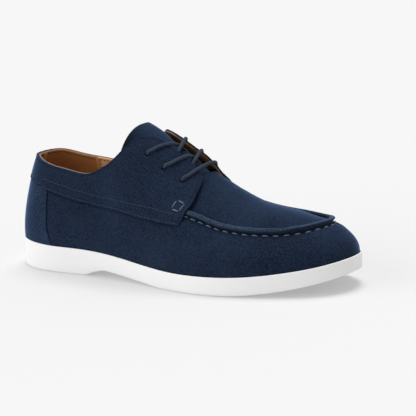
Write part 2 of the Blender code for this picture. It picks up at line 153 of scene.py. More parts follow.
# Top edge of the upper: the collar by its height, then the throat by its half gap
COLLAR = table("x height", [
    (12, 90.5), (20, 91.2), (25, 91.0), (30, 89.8), (35, 88.3), (41, 86.8), (49, 85.3), (59, 84.1),
    (69, 82.7), (80, 81.7), (89, 82.9), (100, 87.7), (110, 94.1), (120, 103.4), (124, 107.0),
    (127, 109.7), (130, 111.6), (133, 112.6),
])
THROAT = table("x half_gap", [
    (133, 16.9), (136, 14.2), (139, 12.0), (142.5, 10.7), (147, 10.1), (158, 10.0), (165, 10.0),
    (172, 9.7), (177, 9.2), (181.5, 8.7), (185, 7.6),
])
THROAT_END = 188.0
COLLAR_END = 1.465           # place where the collar turns into the throat


def spline(knots, values, at):
    """Natural cubic curve through the values at the knots."""
    knots = np.asarray(knots, float)
    values = np.asarray(values, float)
    steps = np.diff(knots)
    slopes = np.diff(values, axis=0) / steps.reshape(-1, *[1] * (values.ndim - 1))
    system = np.eye(len(knots))
    bend = np.zeros(values.shape)
    for i in range(1, len(knots) - 1):
        system[i, i - 1:i + 2] = steps[i - 1], 2 * (steps[i - 1] + steps[i]), steps[i]
        bend[i] = 6 * (slopes[i] - slopes[i - 1])
    bend = np.linalg.solve(system, bend)
    at = np.clip(at, knots[0], knots[-1])
    i = np.clip(np.searchsorted(knots, at) - 1, 0, len(steps) - 1)
    a = (knots[i + 1] - at) / steps[i]
    b = 1 - a
    width = steps[i] ** 2 / 6
    if values.ndim > 1:
        a, b, width = (np.expand_dims(v, -1) for v in (a, b, width))
    curve = a * values[i] + b * values[i + 1]
    return curve + ((a ** 3 - a) * bend[i] + (b ** 3 - b) * bend[i + 1]) * width


def unit(ways):
    """Directions brought to length one."""
    return ways / np.linalg.norm(ways, axis=-1, keepdims=True)


def lengths(points):
    """Distance along a run of points."""
    return np.r_[0, np.cumsum(np.linalg.norm(np.diff(points, axis=0), axis=1))]


def open_curve(points, count):
    """Smooth curve through the points at even steps."""
    points = np.asarray(points, float)
    along = lengths(points)
    return spline(along, points, np.linspace(0, along[-1], count))


def plan_outline():
    """The sole's outline as a dense closed curve, round by the outer side."""
    outer = np.c_[OUTLINE.x, OUTLINE.outer]
    inner = np.c_[OUTLINE.x, OUTLINE.inner]
    points = np.vstack([[HEEL_POINT], outer, [TOE_POINT], inner[::-1]])
    wrap = 4
    run = np.vstack([points[-wrap:], points, points[:wrap + 1]])
    along = lengths(run)
    steps = np.linspace(along[wrap], along[wrap + len(points)], OUTLINE_POINTS, endpoint=False)
    return spline(along, run, steps)


PLAN = plan_outline()


def sole_rim(x):
    """Height of the sole's rim."""
    return spline(SOLE_RIM.x, SOLE_RIM.height, x)


def sole_bottom(x):
    """Height of the sole's underside: flat heel, arch and toe spring."""
    spring = SPRING_HEIGHT * (np.clip(x - SPRING_START, 0, None) / SPRING_LENGTH) ** 2
    return np.interp(x, ARCH.x, ARCH.height) + spring


def crest(x):
    """Height of the last's middle line."""
    return spline(SECTIONS.x, SECTIONS.crest, x)


def crest_slope(x):
    """Rise of the last's middle line for each millimetre along the shoe."""
    low, high = np.clip([x - 0.5, x + 0.5], SECTIONS.x[0], SECTIONS.x[-1])
    return float(crest(high) - crest(low)) / (high - low)


def crest_y(x):
    """How far the last's middle line lies to the inner side."""
    return float(spline(CREST_LINE.x, CREST_LINE.y, x))


Station = namedtuple("Station", "centre heading edge outward section")


def edge_of_plan(centre, heading):
    """Where a line from the centre leaves the outline, and the outline's normal there."""
    start = PLAN - centre
    run = np.roll(PLAN, -1, axis=0) - PLAN
    cross = heading[1] * run[:, 0] - heading[0] * run[:, 1]
    cross[abs(cross) < 1e-12] = 1e-12
    reach = (start[:, 1] * run[:, 0] - start[:, 0] * run[:, 1]) / cross
    share = (start[:, 1] * heading[0] - start[:, 0] * heading[1]) / cross
    on_edge = (share >= -1e-9) & (share <= 1 + 1e-9) & (reach > 0)
    k = np.where(on_edge)[0][np.argmax(reach[on_edge])]
    before, after = run[k - 1], run[(k + 1) % len(run)]
    way = (before + run[k]) * (1 - share[k]) + (run[k] + after) * share[k]
    outward = unit(np.array([way[1], -way[0]]))
    if outward @ heading < 0:
        outward = -outward
    return centre + reach[k] * heading, outward


def station(place):
    """A section's plane: a fan at the heel (0 to 1), the body (1 to 2), a fan at the toe (2 to 3)."""
    side, place = (OUTER, -place) if place < 0 else (INNER, place)
    x = HEEL_X + (TOE_X - HEEL_X) * min(max(place - 1, 0), 1)
    angle = math.pi / 2 * (1 + max(1 - place, 0) - max(place - 2, 0))
    centre = np.array([x, crest_y(x)])
    heading = np.array([math.cos(angle), side * math.sin(angle)])
    lean = SECTIONS.outer if side == OUTER else SECTIONS.inner
    shape = [float(spline(SECTIONS.x, column, x)) for column in (SECTIONS.side, SECTIONS.crown, lean)]
    end = HEEL_END if place < 1 else TOE_END
    toward_end = max(1 - place, place - 2, 0)
    blend = (1 - math.cos(math.pi * toward_end)) / 2
    high, crown, lean = (body + (tip - body) * blend for body, tip in zip(shape, end))
    edge, outward = edge_of_plan(centre, heading)
    foot = edge - outward * (LIP + GAP)
    reach = (foot - centre) @ heading
    base = float(sole_rim(foot[0]))
    top = float(crest(x))
    rise = top - base
    fall = crest_slope(x) * heading[0] if place > 2 else 0.0
    section = np.array([
        (reach, base),
        (reach + lean, base + high * rise),
        (crown * reach, top + fall * crown * reach),
        (0, top),
    ])
    skew = (foot - centre - heading * reach) / reach
    return Station(centre, heading + skew, edge, outward, section)


def place_of(x):
    """The body place at a distance along the shoe."""
    return 1 + (x - HEEL_X) / (TOE_X - HEEL_X)


def smooth(x):
    """A soft step from 0 to 1."""
    x = np.clip(x, 0, 1)
    return x * x * (3 - 2 * x)


def hill(distance, width):
    """A soft bump that is 1 at no distance."""
    return np.exp(-(np.asarray(distance) / width) ** 2)


class Last:
    """The last as a dense sheet of points with its outward directions, read between them."""
    PLACES = np.linspace(-3, 3, 1201)
    LEVELS = np.linspace(0, 1, 181)
    HIGH = LEVELS > 0.2         # above the bulge of the sides

    def __init__(self):
        self.stations = [station(place) for place in self.PLACES]
        self.points = np.array([self.section(here) for here in self.stations])
        self.out = self.directions()
        steps = np.linalg.norm(np.diff(self.points, axis=1), axis=2)
        self.arc = np.c_[np.zeros(len(steps)), np.cumsum(steps, axis=1)]
        centres = np.array([here.centre for here in self.stations])
        self.reach = np.linalg.norm(self.points[:, :, :2] - centres[:, None], axis=2)
        self.tops = self.edge_levels()

    def section(self, here):
        """Points up one section, on the cubic curve that its four corners pull."""
        t = self.LEVELS[:, None]
        a, b, c, d = here.section
        flat = (1 - t) ** 3 * a + 3 * (1 - t) ** 2 * t * b + 3 * (1 - t) * t ** 2 * c + t ** 3 * d
        return np.c_[here.centre + flat[:, :1] * here.heading, flat[:, 1]]

    def directions(self):
        """Outward directions, turned to the crest's own where the toe's sections meet."""
        wrapped = np.concatenate([self.points[-2:-1], self.points, self.points[1:2]])
        along = wrapped[2:] - wrapped[:-2]
        up = np.gradient(self.points, axis=1)
        out = np.cross(up, along)
        length = np.linalg.norm(out, axis=2, keepdims=True)
        ridges = unit(np.array([(-crest_slope(here.centre[0]), 0, 1) for here in self.stations]))
        near_crest = smooth((self.LEVELS - 0.93) / 0.06)[None, :, None]
        out = out / np.maximum(length, 1e-9) * (1 - near_crest) + ridges[:, None] * near_crest
        return unit(out)

    def edge_levels(self):
        """Levels of the collar and throat edge, eased where the one turns into the other."""
        tops = np.array([self.edge_level(k) for k in range(len(self.PLACES))])
        eased = tops
        for reach in (4, 2):
            window = np.ones(2 * reach + 1) / (2 * reach + 1)
            eased = np.convolve(np.pad(eased, reach, mode="edge"), window, mode="valid")
        return tops + (eased - tops) * hill(np.abs(self.PLACES) - COLLAR_END, 0.05)

    def edge_level(self, k):
        """Level of the collar or throat edge at one place of the sheet; 1 where it is closed."""
        place = abs(self.PLACES[k])
        if place >= place_of(THROAT_END):
            return 1.0
        x = HEEL_X + (TOE_X - HEEL_X) * (place - 1)
        levels = self.LEVELS[self.HIGH]
        if place > 1 and x >= THROAT.x[0]:
            gap = float(spline(THROAT.x, THROAT.half_gap, x))
            return float(np.interp(-gap, -self.reach[k, self.HIGH], levels))
        points = self.points[k, self.HIGH]
        short = points[:, 2] - spline(COLLAR.x, COLLAR.height, points[:, 0])
        return float(np.interp(0, short, levels))

    def read(self, field, place, level):
        """A field of the sheet between its points."""
        place, level = np.broadcast_arrays(place, level)
        i = (place + 3) % 6 / 6 * (len(self.PLACES) - 1)
        j = np.clip(level, 0, 1) * (len(self.LEVELS) - 1)
        i0 = np.clip(i.astype(int), 0, len(self.PLACES) - 2)
        j0 = np.clip(j.astype(int), 0, len(self.LEVELS) - 2)
        a, b = i - i0, j - j0
        if field.ndim > 2:
            a, b = a[..., None], b[..., None]
        near = field[i0, j0] * (1 - b) + field[i0, j0 + 1] * b
        far = field[i0 + 1, j0] * (1 - b) + field[i0 + 1, j0 + 1] * b
        return near * (1 - a) + far * a

    def point(self, place, level, lift=0.0):
        """Points at a height over the last."""
        lift = np.asarray(lift)[..., None]
        return self.read(self.points, place, level) + self.way(place, level) * lift

    def way(self, place, level):
        """Outward directions of the last."""
        return unit(self.read(self.out, place, level))

    def rise(self, place, low, high):
        """Distance up a section from one level to another."""
        return self.read(self.arc, place, high) - self.read(self.arc, place, low)

    def top(self, place):
        """Level of the collar and throat edge."""
        return np.interp(place, self.PLACES, self.tops)

    def column(self, place):
        """Index of the section nearest to a place."""
        return int(round((place + 3) % 6 / 6 * (len(self.PLACES) - 1)))

    def climb(self, place, level, distance):
        """The level a distance further up the section, or down it if negative."""
        place, level, distance = np.broadcast_arrays(place, level, distance)
        arcs = self.read(self.arc, place, level) + distance
        found = [np.interp(arc, self.arc[self.column(p)], self.LEVELS)
                 for p, arc in zip(place.ravel(), arcs.ravel())]
        return np.reshape(found, place.shape)

    def spot(self, x, y):
        """The signed place and level under a point of the plan."""
        found = [self.one_spot(*pair) for pair in zip(np.ravel(x), np.ravel(y))]
        places, levels = np.transpose(found)
        return places.reshape(np.shape(x)), levels.reshape(np.shape(x))

    def one_spot(self, x, y):
        """The place's section is the one through the point; the level is where it reaches it."""
        centre = min(max(x, HEEL_X), TOE_X)
        side = OUTER if y < crest_y(centre) else INNER
        if x <= TOE_X:
            place, reach = place_of(x), abs(y - crest_y(x))
        else:
            out = np.array([x - TOE_X, y - crest_y(TOE_X)])
            place, reach = 2 + math.atan2(out[0], abs(out[1])) / (math.pi / 2), np.linalg.norm(out)
        i = (side * place + 3) / 6 * (len(self.PLACES) - 1)
        i0 = min(int(i), len(self.PLACES) - 2)
        near, far = (float(np.interp(-reach, -self.reach[k, self.HIGH], self.LEVELS[self.HIGH]))
                     for k in (i0, i0 + 1))
        return side * place, near + (far - near) * (i - i0)


last = Last()


# ---------------------------------------------------------------- lines over the last

class Trail:
    """A line over the last, with the distance of other points to it and along it."""

    def __init__(self, place, level, step=0.4):
        place, level = np.asarray(place, float), np.asarray(level, float)
        along = lengths(last.point(place, level))
        count = max(int(along[-1] / step), 2)
        self.along = np.linspace(0, along[-1], count + 1)
        self.place = np.interp(self.along, along, place)
        self.level = np.interp(self.along, along, level)
        self.points = last.point(self.place, self.level)
        self.tree = KDTree(len(self.points))
        for k, point in enumerate(self.points):
            self.tree.insert(point, k)
        self.tree.balance()

    def nearest(self, points):
        """Distance of each point to the line, and how far along it that is."""
        flat = points.reshape(-1, 3)
        found = [self.tree.find(point) for point in flat]
        near = np.array([f[2] for f in found]).reshape(points.shape[:-1])
        along = self.along[[f[1] for f in found]].reshape(points.shape[:-1])
        return near, along

    def at(self, along):
        """Places and levels at distances along the line."""
        return np.interp(along, self.along, self.place), np.interp(along, self.along, self.level)


# Raised apron seam: the y of its outer and inner run, which meet at the tip
APRON = table("x outer inner", [
    (176, -39.8, 35.6), (183, -39.1, 35.0), (193, -37.9, 34.2), (205, -37.4, 33.6),
    (217, -35.8, 32.8), (229, -33.5, 32.0), (240, -30.9, 31.6), (251, -27.1, 30.9),
    (261, -21.8, 28.8), (269.5, -14.9, 24.3), (275.3, -6.3, 17.8),
])
APRON_TIP = (278.6, 5.5)


def apron_plan(count):
    """The apron's edge in plan, from its outer end round the tip to its inner end."""
    outer = np.c_[APRON.x, APRON.outer]
    inner = np.c_[APRON.x, APRON.inner]
    return open_curve(np.vstack([outer, [APRON_TIP], inner[::-1]]), count)


def apron_trail():
    """The apron's edge over the last, as one run of places from -1 to -5."""
    x, y = apron_plan(400).T
    place, level = last.spot(x, y)
    return Trail(np.where(place > 0, place - 6, place), level, step=0.25)


apron = apron_trail()


def apron_level(place):
    """Level of the apron's edge at places of either side."""
    place = np.where(np.asarray(place) > 0, np.asarray(place) - 6, place)
    order = np.argsort(apron.place)
    return np.interp(place, apron.place[order], apron.level[order])


# Lower edge of the quarter panel, from the back of the heel to its front corner
PANEL_EDGE = table("place level", [
    (0, 0.440), (0.5, 0.446), (0.75, 0.440), (0.84, 0.433), (1.0, 0.413), (1.03, 0.394),
    (1.087, 0.357), (1.126, 0.329), (1.167, 0.303), (1.24, 0.268), (1.324, 0.238), (1.40, 0.227),
    (1.478, 0.236), (1.533, 0.2515), (1.610, 0.286), (1.667, 0.3255), (1.679, 0.334),
])
# Front edge of the panel, from its lower corner over the apron seam up to the throat
PANEL_FRONT = table("place level", [
    (1.679, 0.334), (1.687, 0.382), (1.695, 0.430), (1.697, 0.454), (1.700, 0.480), (1.705, 0.509),
    (1.708, 0.540), (1.710, 0.635), (1.708, 0.708), (1.703, 0.788), (1.695, 0.835), (1.682, 0.871),
])
# Second row of stitches on the panel
SECOND_ROW = table("place level", [
    (1.004, 0.474), (1.034, 0.454), (1.074, 0.427), (1.124, 0.395), (1.173, 0.363), (1.220, 0.338),
    (1.246, 0.323), (1.305, 0.297), (1.353, 0.287), (1.410, 0.284), (1.495, 0.309), (1.556, 0.334),
    (1.594, 0.350), (1.640, 0.380), (1.664, 0.401),
])
PANEL_END = PANEL_EDGE.place[-1]
# Front edges of the backstay
BACKSTAY = table("level place", [(0, 1.041), (0.05, 1.032), (0.15, 1.018), (0.28, 1.018), (0.5, 1.024)])
EYELETS = table("x y", [(139.7, 26.0), (155.0, 27.7), (170.4, 26.6)])


def panel_edge(place):
    """Level of the panel's lower edge."""
    return spline(PANEL_EDGE.place, PANEL_EDGE.level, np.abs(place))


def panel_front(share):
    """Place and level of the panel's front edge, by the share of its height."""
    points = np.c_[PANEL_FRONT.place, PANEL_FRONT.level]
    rise = (PANEL_FRONT.level - PANEL_FRONT.level[0]) / np.ptp(PANEL_FRONT.level)
    return spline(rise, points, np.asarray(share, float))


def panel_top(place):
    """Level of the panel's top edge, rounded where it turns down at the front."""
    place = np.abs(place)
    return last.top(place) - 0.014 * smooth((place - 1.655) / 0.027)


eyelet_places, eyelet_levels = last.spot(np.r_[EYELETS.x, EYELETS.x], np.r_[EYELETS.y, -EYELETS.y])
eyelet_points = last.point(eyelet_places, eyelet_levels)


def near_any(points, centres, width):
    """Sum of soft bumps round the centres."""
    total = np.zeros(points.shape[:-1])
    for centre in centres:
        total = total + hill(np.linalg.norm(points - centre, axis=-1), width)
    return total


SEAM_END_PLACES = np.array([-1.700, 1.700])
seam_ends = last.point(SEAM_END_PLACES, apron_level(SEAM_END_PLACES))


# How far the facings stand off the tongue at their throat edge, the inner one more
FLARE_REACH = 10.0
FLARE = table("place outer inner", [
    (1.40, 0.0, 0.0), (1.45, 0.1, 0.8), (1.50, 0.2, 1.4), (1.56, 0.3, 2.0), (1.60, 0.3, 2.3),
    (1.64, 0.3, 3.4), (1.69, 0.3, 3.4), (1.71, 0.1, 1.6), (1.73, 0.0, 0.0),
])


def flare(place, level):
    """Extra height of the facings and their lining, most at the throat edge."""
    from_edge = last.rise(place, level, last.top(place))
    near_edge = np.clip(1 - np.maximum(from_edge, 0) / FLARE_REACH, 0, 1) ** 2
    outer, inner = (np.interp(np.abs(place), FLARE.place, side, left=0, right=0)
                    for side in (FLARE.outer, FLARE.inner))
    beyond = 0.6 * hill(from_edge - 15, 6) * smooth((place - 1.50) / 0.06) * smooth((1.70 - place) / 0.05)
    return np.where(place > 0, inner, outer) * near_edge - beyond


def front_rise(place, level):
    """Extra height along the panel's front edge, which stands off the apron."""
    return 1.7 * smooth((-place - 1.655) / 0.05) * hill(level - 0.64, 0.17)


def over_seam(points):
    """Extra height of the panel where it lies over the ends of the apron seam."""
    return 2.1 * near_any(points, seam_ends, 6.0)


def panel_lift(place, level):
    """Height of the panel's outer face over the last."""
    points = last.point(place, level)
    side = np.abs(place)
    heel = 0.45 * (1 - smooth((side - 1.0) / 0.25))
    crown = 0.25 * hill(side - 1.35, 0.22) * hill(level - 0.45, 0.2)
    pulled = 0.45 * near_any(points, eyelet_points, 3.2)
    back_seam = 0.45 * hill(points[..., 1], 0.7) * (side < 0.5)
    stand = flare(place, level) + front_rise(place, level) + over_seam(points)
    from_top = last.rise(place, level, panel_top(place))
    from_foot = last.rise(place, panel_edge(place), level)
    rolled = 0.30 * hill(from_top - 0.2, 1.0) - 0.22 * hill(from_top - 1.9, 0.8)
    rolled = rolled + 0.20 * hill(from_foot - 0.2, 0.9) - 0.20 * hill(from_foot - 1.6, 0.8)
    skived = 0.95 * smooth((place - 1.43) / 0.05) * smooth((4.2 - from_top) / 3.0)
    return PANEL_LIFT + heel + crown - pulled - back_seam + stand + rolled - skived


# ---------------------------------------------------------------- mesh making

def circle(sides):
    """The two coordinates of points round a circle of radius one."""
    turns = np.arange(sides) * 2 * math.pi / sides
    return np.array([np.cos(turns), np.sin(turns)])


def clear_selection():
    """Deselects everything, the frame's nodes among it."""
    for thing in bpy.context.selected_objects:
        thing.select_set(False)


def modify(thing, kind, **settings):
    """A modifier with its settings, applied."""
    clear_selection()
    thing.select_set(True)
    bpy.context.view_layer.objects.active = thing
    modifier = thing.modifiers.new("shaping", kind)
    for key, value in settings.items():
        setattr(modifier, key, value)
    bpy.ops.object.modifier_apply(modifier=modifier.name)


def piece(name, points, faces, uv=None, weld=0.004):
    """A closed mesh from points in millimetres, welded and facing outwards."""
    place = (np.asarray(points) - [HEEL_ORIGIN, 0, 0]) * METRE
    mesh = bpy.data.meshes.new(name)
    mesh.from_pydata(place.tolist(), [], faces)
    if uv is not None:
        layer = mesh.uv_layers.new(name="UVMap")
        corners = np.empty(len(mesh.loops), int)
        mesh.loops.foreach_get("vertex_index", corners)
        layer.data.foreach_set("uv", uv.reshape(-1, 2)[corners].ravel())
    shape = bmesh.new()
    shape.from_mesh(mesh)
    bmesh.ops.remove_doubles(shape, verts=shape.verts, dist=weld * METRE)
    bmesh.ops.dissolve_degenerate(shape, edges=shape.edges, dist=weld * METRE)
    bmesh.ops.recalc_face_normals(shape, faces=shape.faces)
    shape.to_mesh(mesh)
    shape.free()
    mesh.shade_smooth()
    mesh.set_sharp_from_angle(angle=SHARP_ANGLE)
    thing = bpy.data.objects.new(name, mesh)
    bpy.context.collection.objects.link(thing)
    return thing


def grid_faces(rows, columns, first=0, ring=False):
    """Quads of a grid of points kept row by row; a ring joins its last column to its first."""
    faces = []
    for i in range(rows - 1):
        for j in range(columns if ring else columns - 1):
            a = first + i * columns + j
            b = first + i * columns + (j + 1) % columns
            faces.append((a, b, b + columns, a + columns))
    return faces


def shell(name, upper, lower, ring=False, open_top=None, edge=0.0):
    """A closed sheet between two grids of points, rows by columns.

    Its sharp edges are rounded by edge, and a ring may stay open along part of its top.
    """
    rows, columns = upper.shape[:2]
    count = rows * columns
    points = np.vstack([upper.reshape(-1, 3), lower.reshape(-1, 3)])
    faces = grid_faces(rows, columns, ring=ring) + grid_faces(rows, columns, count, ring)

    def wall(a, b):
        faces.append((a, b, count + b, count + a))

    for j in range(columns if ring else columns - 1):
        following = (j + 1) % columns
        wall(j, following)
        if open_top is None or open_top[j] or open_top[following]:
            base = (rows - 1) * columns
            wall(base + j, base + following)
    if not ring:
        for i in range(rows - 1):
            wall(i * columns, (i + 1) * columns)
            wall(i * columns + columns - 1, (i + 1) * columns + columns - 1)
    thing = piece(name, points, faces)
    if edge:
        modify(thing, "BEVEL", width=edge * METRE, segments=2, limit_method="ANGLE", angle_limit=SHARP_ANGLE)
        thing.data.shade_smooth()
    return thing


def bar_faces(rows, columns):
    """Faces of a bar through rings of points, closed at both ends."""
    faces = grid_faces(rows, columns, ring=True)
    return faces + [tuple(range(end, end + columns)) for end in (0, (rows - 1) * columns)]


def bar(name, rings, along):
    """A bar through rings of points, with a UV that runs along it and once round it."""
    rows, columns = rings.shape[:2]
    uv = np.stack(np.broadcast_arrays(along[:, None], np.arange(columns) / columns), -1)
    return piece(name, rings.reshape(-1, 3), bar_faces(rows, columns), uv)


def sweep(name, centres, ups, section, widths=1.0):
    """A bar along points, with a section of (side, up) and a scale at each point."""
    ways = unit(np.gradient(centres, axis=0))
    sides = unit(np.cross(ups, ways))
    ups = np.cross(ways, sides)
    section = np.asarray(section, float) * np.reshape(widths, (-1, 1, 1))
    rings = centres[:, None] + sides[:, None] * section[..., :1] + ups[:, None] * section[..., 1:]
    return bar(name, rings, lengths(centres) / SWEEP_UV_STEP)


def stand_for(thing, finish, slot, *nodes):
    """Puts a finished piece in its nodes' place, with its finish."""
    thing.data.materials.clear()
    thing.data.materials.append(finish)
    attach(thing, "root")
    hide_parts(*nodes)


# About the lengths round one side of the heel, along the body, and round to the tip
STRETCHES = (60.0, TOE_X - HEEL_X, 86.0)


def fan_places(start, end, step):
    """Places between two, at about a step in millimetres."""
    run = [start]
    for k, length in enumerate(STRETCHES):
        low, high = max(start, k), min(end, k + 1)
        if high > low:
            count = max(int(round((high - low) * length / step)), 1)
            run.extend(np.linspace(low, high, count + 1)[1:])
    return np.array(run)


def both_sides(half):
    """Places of one side, from the back of the heel, and before them the other side's."""
    return np.r_[-half[:0:-1], half]


# ---------------------------------------------------------------- upper

def punch_eyelets(thing, radius):
    """The piece with the six lace holes cut through it."""
    cutters = []
    for place, level, point in zip(eyelet_places, eyelet_levels, eyelet_points):
        clear_selection()
        bpy.ops.mesh.primitive_cylinder_add(
            vertices=CUTTER_SIDES, radius=radius * METRE, depth=PUNCH_LENGTH * METRE,
            location=(point - [HEEL_ORIGIN, 0, 0]) * METRE,
            rotation=Vector(last.way(place, level)).to_track_quat("Z", "Y").to_euler())
        cutters.append(bpy.context.object)
    for cutter in cutters:
        cutter.select_set(True)
    bpy.ops.object.join()
    cutter = bpy.context.object
    modify(thing, "TRIANGULATE")
    modify(thing, "BOOLEAN", operation="DIFFERENCE", solver="EXACT", object=cutter)
    thing.data.shade_smooth()
    thing.data.set_sharp_from_angle(angle=SHARP_ANGLE)
    bpy.data.objects.remove(cutter, do_unlink=True)
    return thing


def stitch_phase(along):
    """1 at each stitch of the apron seam and -1 midway between two."""
    return np.cos(2 * math.pi * (along - STITCH_START) / STITCH_PITCH)


def make_quarters():
    """The lower quarters and vamp in one: from the sole up to the apron seam and under the panel."""
    places = both_sides(fan_places(0, 3, 1.15))[:-1]
    toe = smooth((np.abs(places) - 1.61) / 0.07)
    under_panel = last.climb(places, panel_edge(places), 7.0)
    tops = under_panel + (apron_level(places) - under_panel) * toe
    rows = np.r_[np.linspace(0, 0.7, 22)[:-1], np.linspace(0.7, 1, 32)]
    place, row = np.meshgrid(places, rows)
    level = tops * row
    to_seam, along = apron.nearest(last.point(place, level))
    below_panel = last.rise(place, level, panel_edge(place))
    stay = np.interp(level, BACKSTAY.level, BACKSTAY.place)
    ahead_of_stay = (np.abs(place) - stay) * (TOE_X - HEEL_X)
    by_panel = QUARTER_LIFT * smooth((level - 0.02) / 0.1) - 0.75 * hill(below_panel - 0.4, 1.0)
    by_seam = (0.40 * hill(to_seam - 8.5, 4.5) - 1.0 * hill(to_seam - 1.6, 1.9)
               - 0.22 * stitch_phase(along) * hill(to_seam - 4.6, 2.2))
    by_stay = 0.45 * hill(ahead_of_stay - 0.3, 0.9) * (np.abs(place) > 1)
    round_toe = 0.35 * hill(level - 0.2, 0.12) * hill(np.abs(place) - 2.0, 0.4)
    lift = np.maximum((1 - toe) * by_panel + toe * by_seam - by_stay + round_toe, -1.0)
    foot = last.point(places, 0.0)
    skirt = np.array([foot - [0, 0, drop] for drop in (CUP_DEPTH - 1.5, 1.5)])
    upper = np.concatenate([skirt, last.point(place, level, lift)])
    inward = unit(last.way(places, 0.0) * [1, 1, 0])
    lower = np.concatenate([skirt - inward, last.point(place, level, lift - QUARTER_SHEET)])
    return shell("quarters", upper, lower, ring=True)


def plan_of(place, level):
    """The x and y of points on the last."""
    return np.moveaxis(last.point(place, level)[..., :2], -1, 0)


def plug_sink(place, level):
    """How far the apron and its lining lie below the last: inside the seam, and by the facings."""
    x, y = plan_of(place, level)
    side = np.abs(place)
    inside = smooth((level - apron_level(place)) / 0.10) * (side > 1.6)
    whole = 0.8 * smooth((x - 190) / 30)
    inner_toe = 0.9 * smooth((x - 235) / 30) * smooth((y + 5) / 20) * (1 - 0.5 * smooth((x - 262) / 12))
    beside = (side - np.interp(level, PANEL_FRONT.level, PANEL_FRONT.place)) * (TOE_X - HEEL_X)
    tall = smooth((level - 0.48) / 0.06) * smooth((0.88 - level) / 0.1)
    return (whole + inner_toe) * inside + 1.3 * hill(beside - 0.4, 1.7) * tall


def make_plug():
    """The apron's plug: from the throat's end to the tip, out to the seam at both sides."""
    count = 150
    outline = apron_plan(2 * count + 1)
    outer, inner = outline[:count + 1], outline[:count - 1:-1]
    share = np.linspace(0, 1, 78)
    share = 0.5 + (share - 0.5) * (0.55 + 0.45 * np.abs(2 * share - 1) ** 0.35)
    share = (share - share[0]) / np.ptp(share)
    x, y = np.moveaxis(outer[:, None] + (inner - outer)[:, None] * share[None, :, None], -1, 0)
    slot = np.sqrt(np.clip(1 - ((y - 3.0) / 13.0) ** 2, 0, 1))
    depth = 5.0 + 7.0 * smooth((y - 9.0) / 6.0)
    x = x + depth * slot * np.clip(1 - np.linspace(0, 1, count + 1)[:, None] / 0.22, 0, 1) ** 2
    x, y = x[:-1], y[:-1]
    place, level = last.spot(x, y)
    to_seam = apron.nearest(last.point(place, level))[0]
    forward = smooth((x - 181.5) / 12)
    lift = QUARTER_LIFT - 0.1 + forward * (0.3 - QUARTER_LIFT) - plug_sink(place, level)
    lift = lift - 0.5 * forward * hill(to_seam - 2.6, 1.3)
    for crease_x, reach, deep in CREASES:
        lift = lift - deep * hill(x - crease_x + (y / 26) ** 2 * 2.0, 2.6) * hill(y, reach)
    lower = last.point(place, level, lift - APRON_SHEET)
    return shell("apron_plug", last.point(place, level, lift), lower)


def make_ridge():
    """The two raised edges of the apron seam, drawn in a little at each stitch."""
    ups = last.way(apron.place, apron.level)
    ups[:, 2] += 2.5 * smooth((np.abs(apron.place) - 2.2) / 0.5)
    rise = np.minimum(apron.along, apron.along[-1] - apron.along)
    height = 0.40 + 0.42 * smooth((rise - 4.5) / 5) + 0.04 * smooth((rise - 10) / 10)
    height = height - 0.06 * smooth((np.abs(apron.place) - 2.45) / 0.4)
    width = 0.95 - 0.03 * stitch_phase(apron.along)
    side, up = np.array([
        (-1.0, -0.9), (-1.0, 0.4), (-1.2, 1.1), (-1.75, 1.7), (-2.15, 2.4), (-2.15, 3.05),
        (-1.85, 3.5), (-1.3, 3.85), (-0.4, 4.0), (0.6, 3.95), (1.35, 3.7), (1.85, 3.2),
        (2.05, 2.5), (1.95, 1.6), (1.7, 0.7), (1.5, -0.9),
    ]).T
    up = np.where(up > 0, up * height[:, None], up)
    return sweep("apron_ridge", apron.points, ups, np.stack([side * width[:, None], up], -1))


def panel_grid():
    """Places, levels and shares of the height of the panel, from one front edge to the other."""
    half = np.r_[0, 0.006, 0.012, 0.018, 0.026, fan_places(0.04, PANEL_END, 1.1)]
    share = half / PANEL_END
    rows = np.r_[np.linspace(0, 0.10, 9)[:-1], np.linspace(0.10, 0.91, 36)[:-1], np.linspace(0.91, 1, 12)]
    u, v = np.meshgrid(share, rows)
    tops_place = half * PANEL_FRONT.place[-1] / PANEL_END
    place = half * (1 - v) + tops_place * v
    level = panel_edge(half) * (1 - v) + panel_top(tops_place) * v
    front = panel_front(rows)
    blend = u ** 9
    place = place + blend * (front[:, :1] - place[:, -1:])
    level = level + blend * (front[:, 1:] - level[:, -1:])
    longer = 0.018 * blend * smooth((level - 0.62) / 0.22)
    place = np.c_[-place[:, :0:-1], place + longer]
    return place, *(np.c_[both[:, :0:-1], both] for both in (level, v))


def make_panel():
    """Quarter panel with its collar and facings, one piece of suede round the heel."""
    place, level, share = panel_grid()
    depth = QUARTER_LIFT + UNDER - 0.85 * smooth((share - 0.12) / 0.14)
    depth = depth + (BACKSTAY_LIFT - QUARTER_LIFT) * (share < 0.12) * (np.abs(place) < 1.05)
    depth = depth + over_seam(last.point(place, level)) + flare(place, level) + front_rise(place, level)
    top = last.point(place, level, panel_lift(place, level))
    panel = shell("quarter_panel", top, last.point(place, level, depth), edge=0.35)
    return punch_eyelets(panel, EYELET_RADIUS)


def make_edge_shadow():
    """A dark strip along the panel's foot and up both fronts: painted shadow under the panel's edge, also
    darkening its cut edge.
    """
    half = fan_places(0, PANEL_END, 1.5)
    foot = last.climb(half, panel_edge(half), -0.12)
    front = panel_front(np.linspace(0.02, 0.93, 70))
    half = np.r_[half[:-1], front[:, 0] + 0.0007]
    level = np.r_[foot[:-1], front[:, 1]]
    trail = Trail(both_sides(half), np.r_[level[:0:-1], level], step=0.8)
    lift = panel_lift(trail.place, trail.level) - 0.62
    section = [(-0.3, -0.38), (0.3, -0.38), (0.3, 0.2), (0.12, 0.38), (-0.12, 0.38), (-0.3, 0.2)]
    return sweep("panel_edge_shadow", last.point(trail.place, trail.level, lift),
                 last.way(trail.place, trail.level), section)


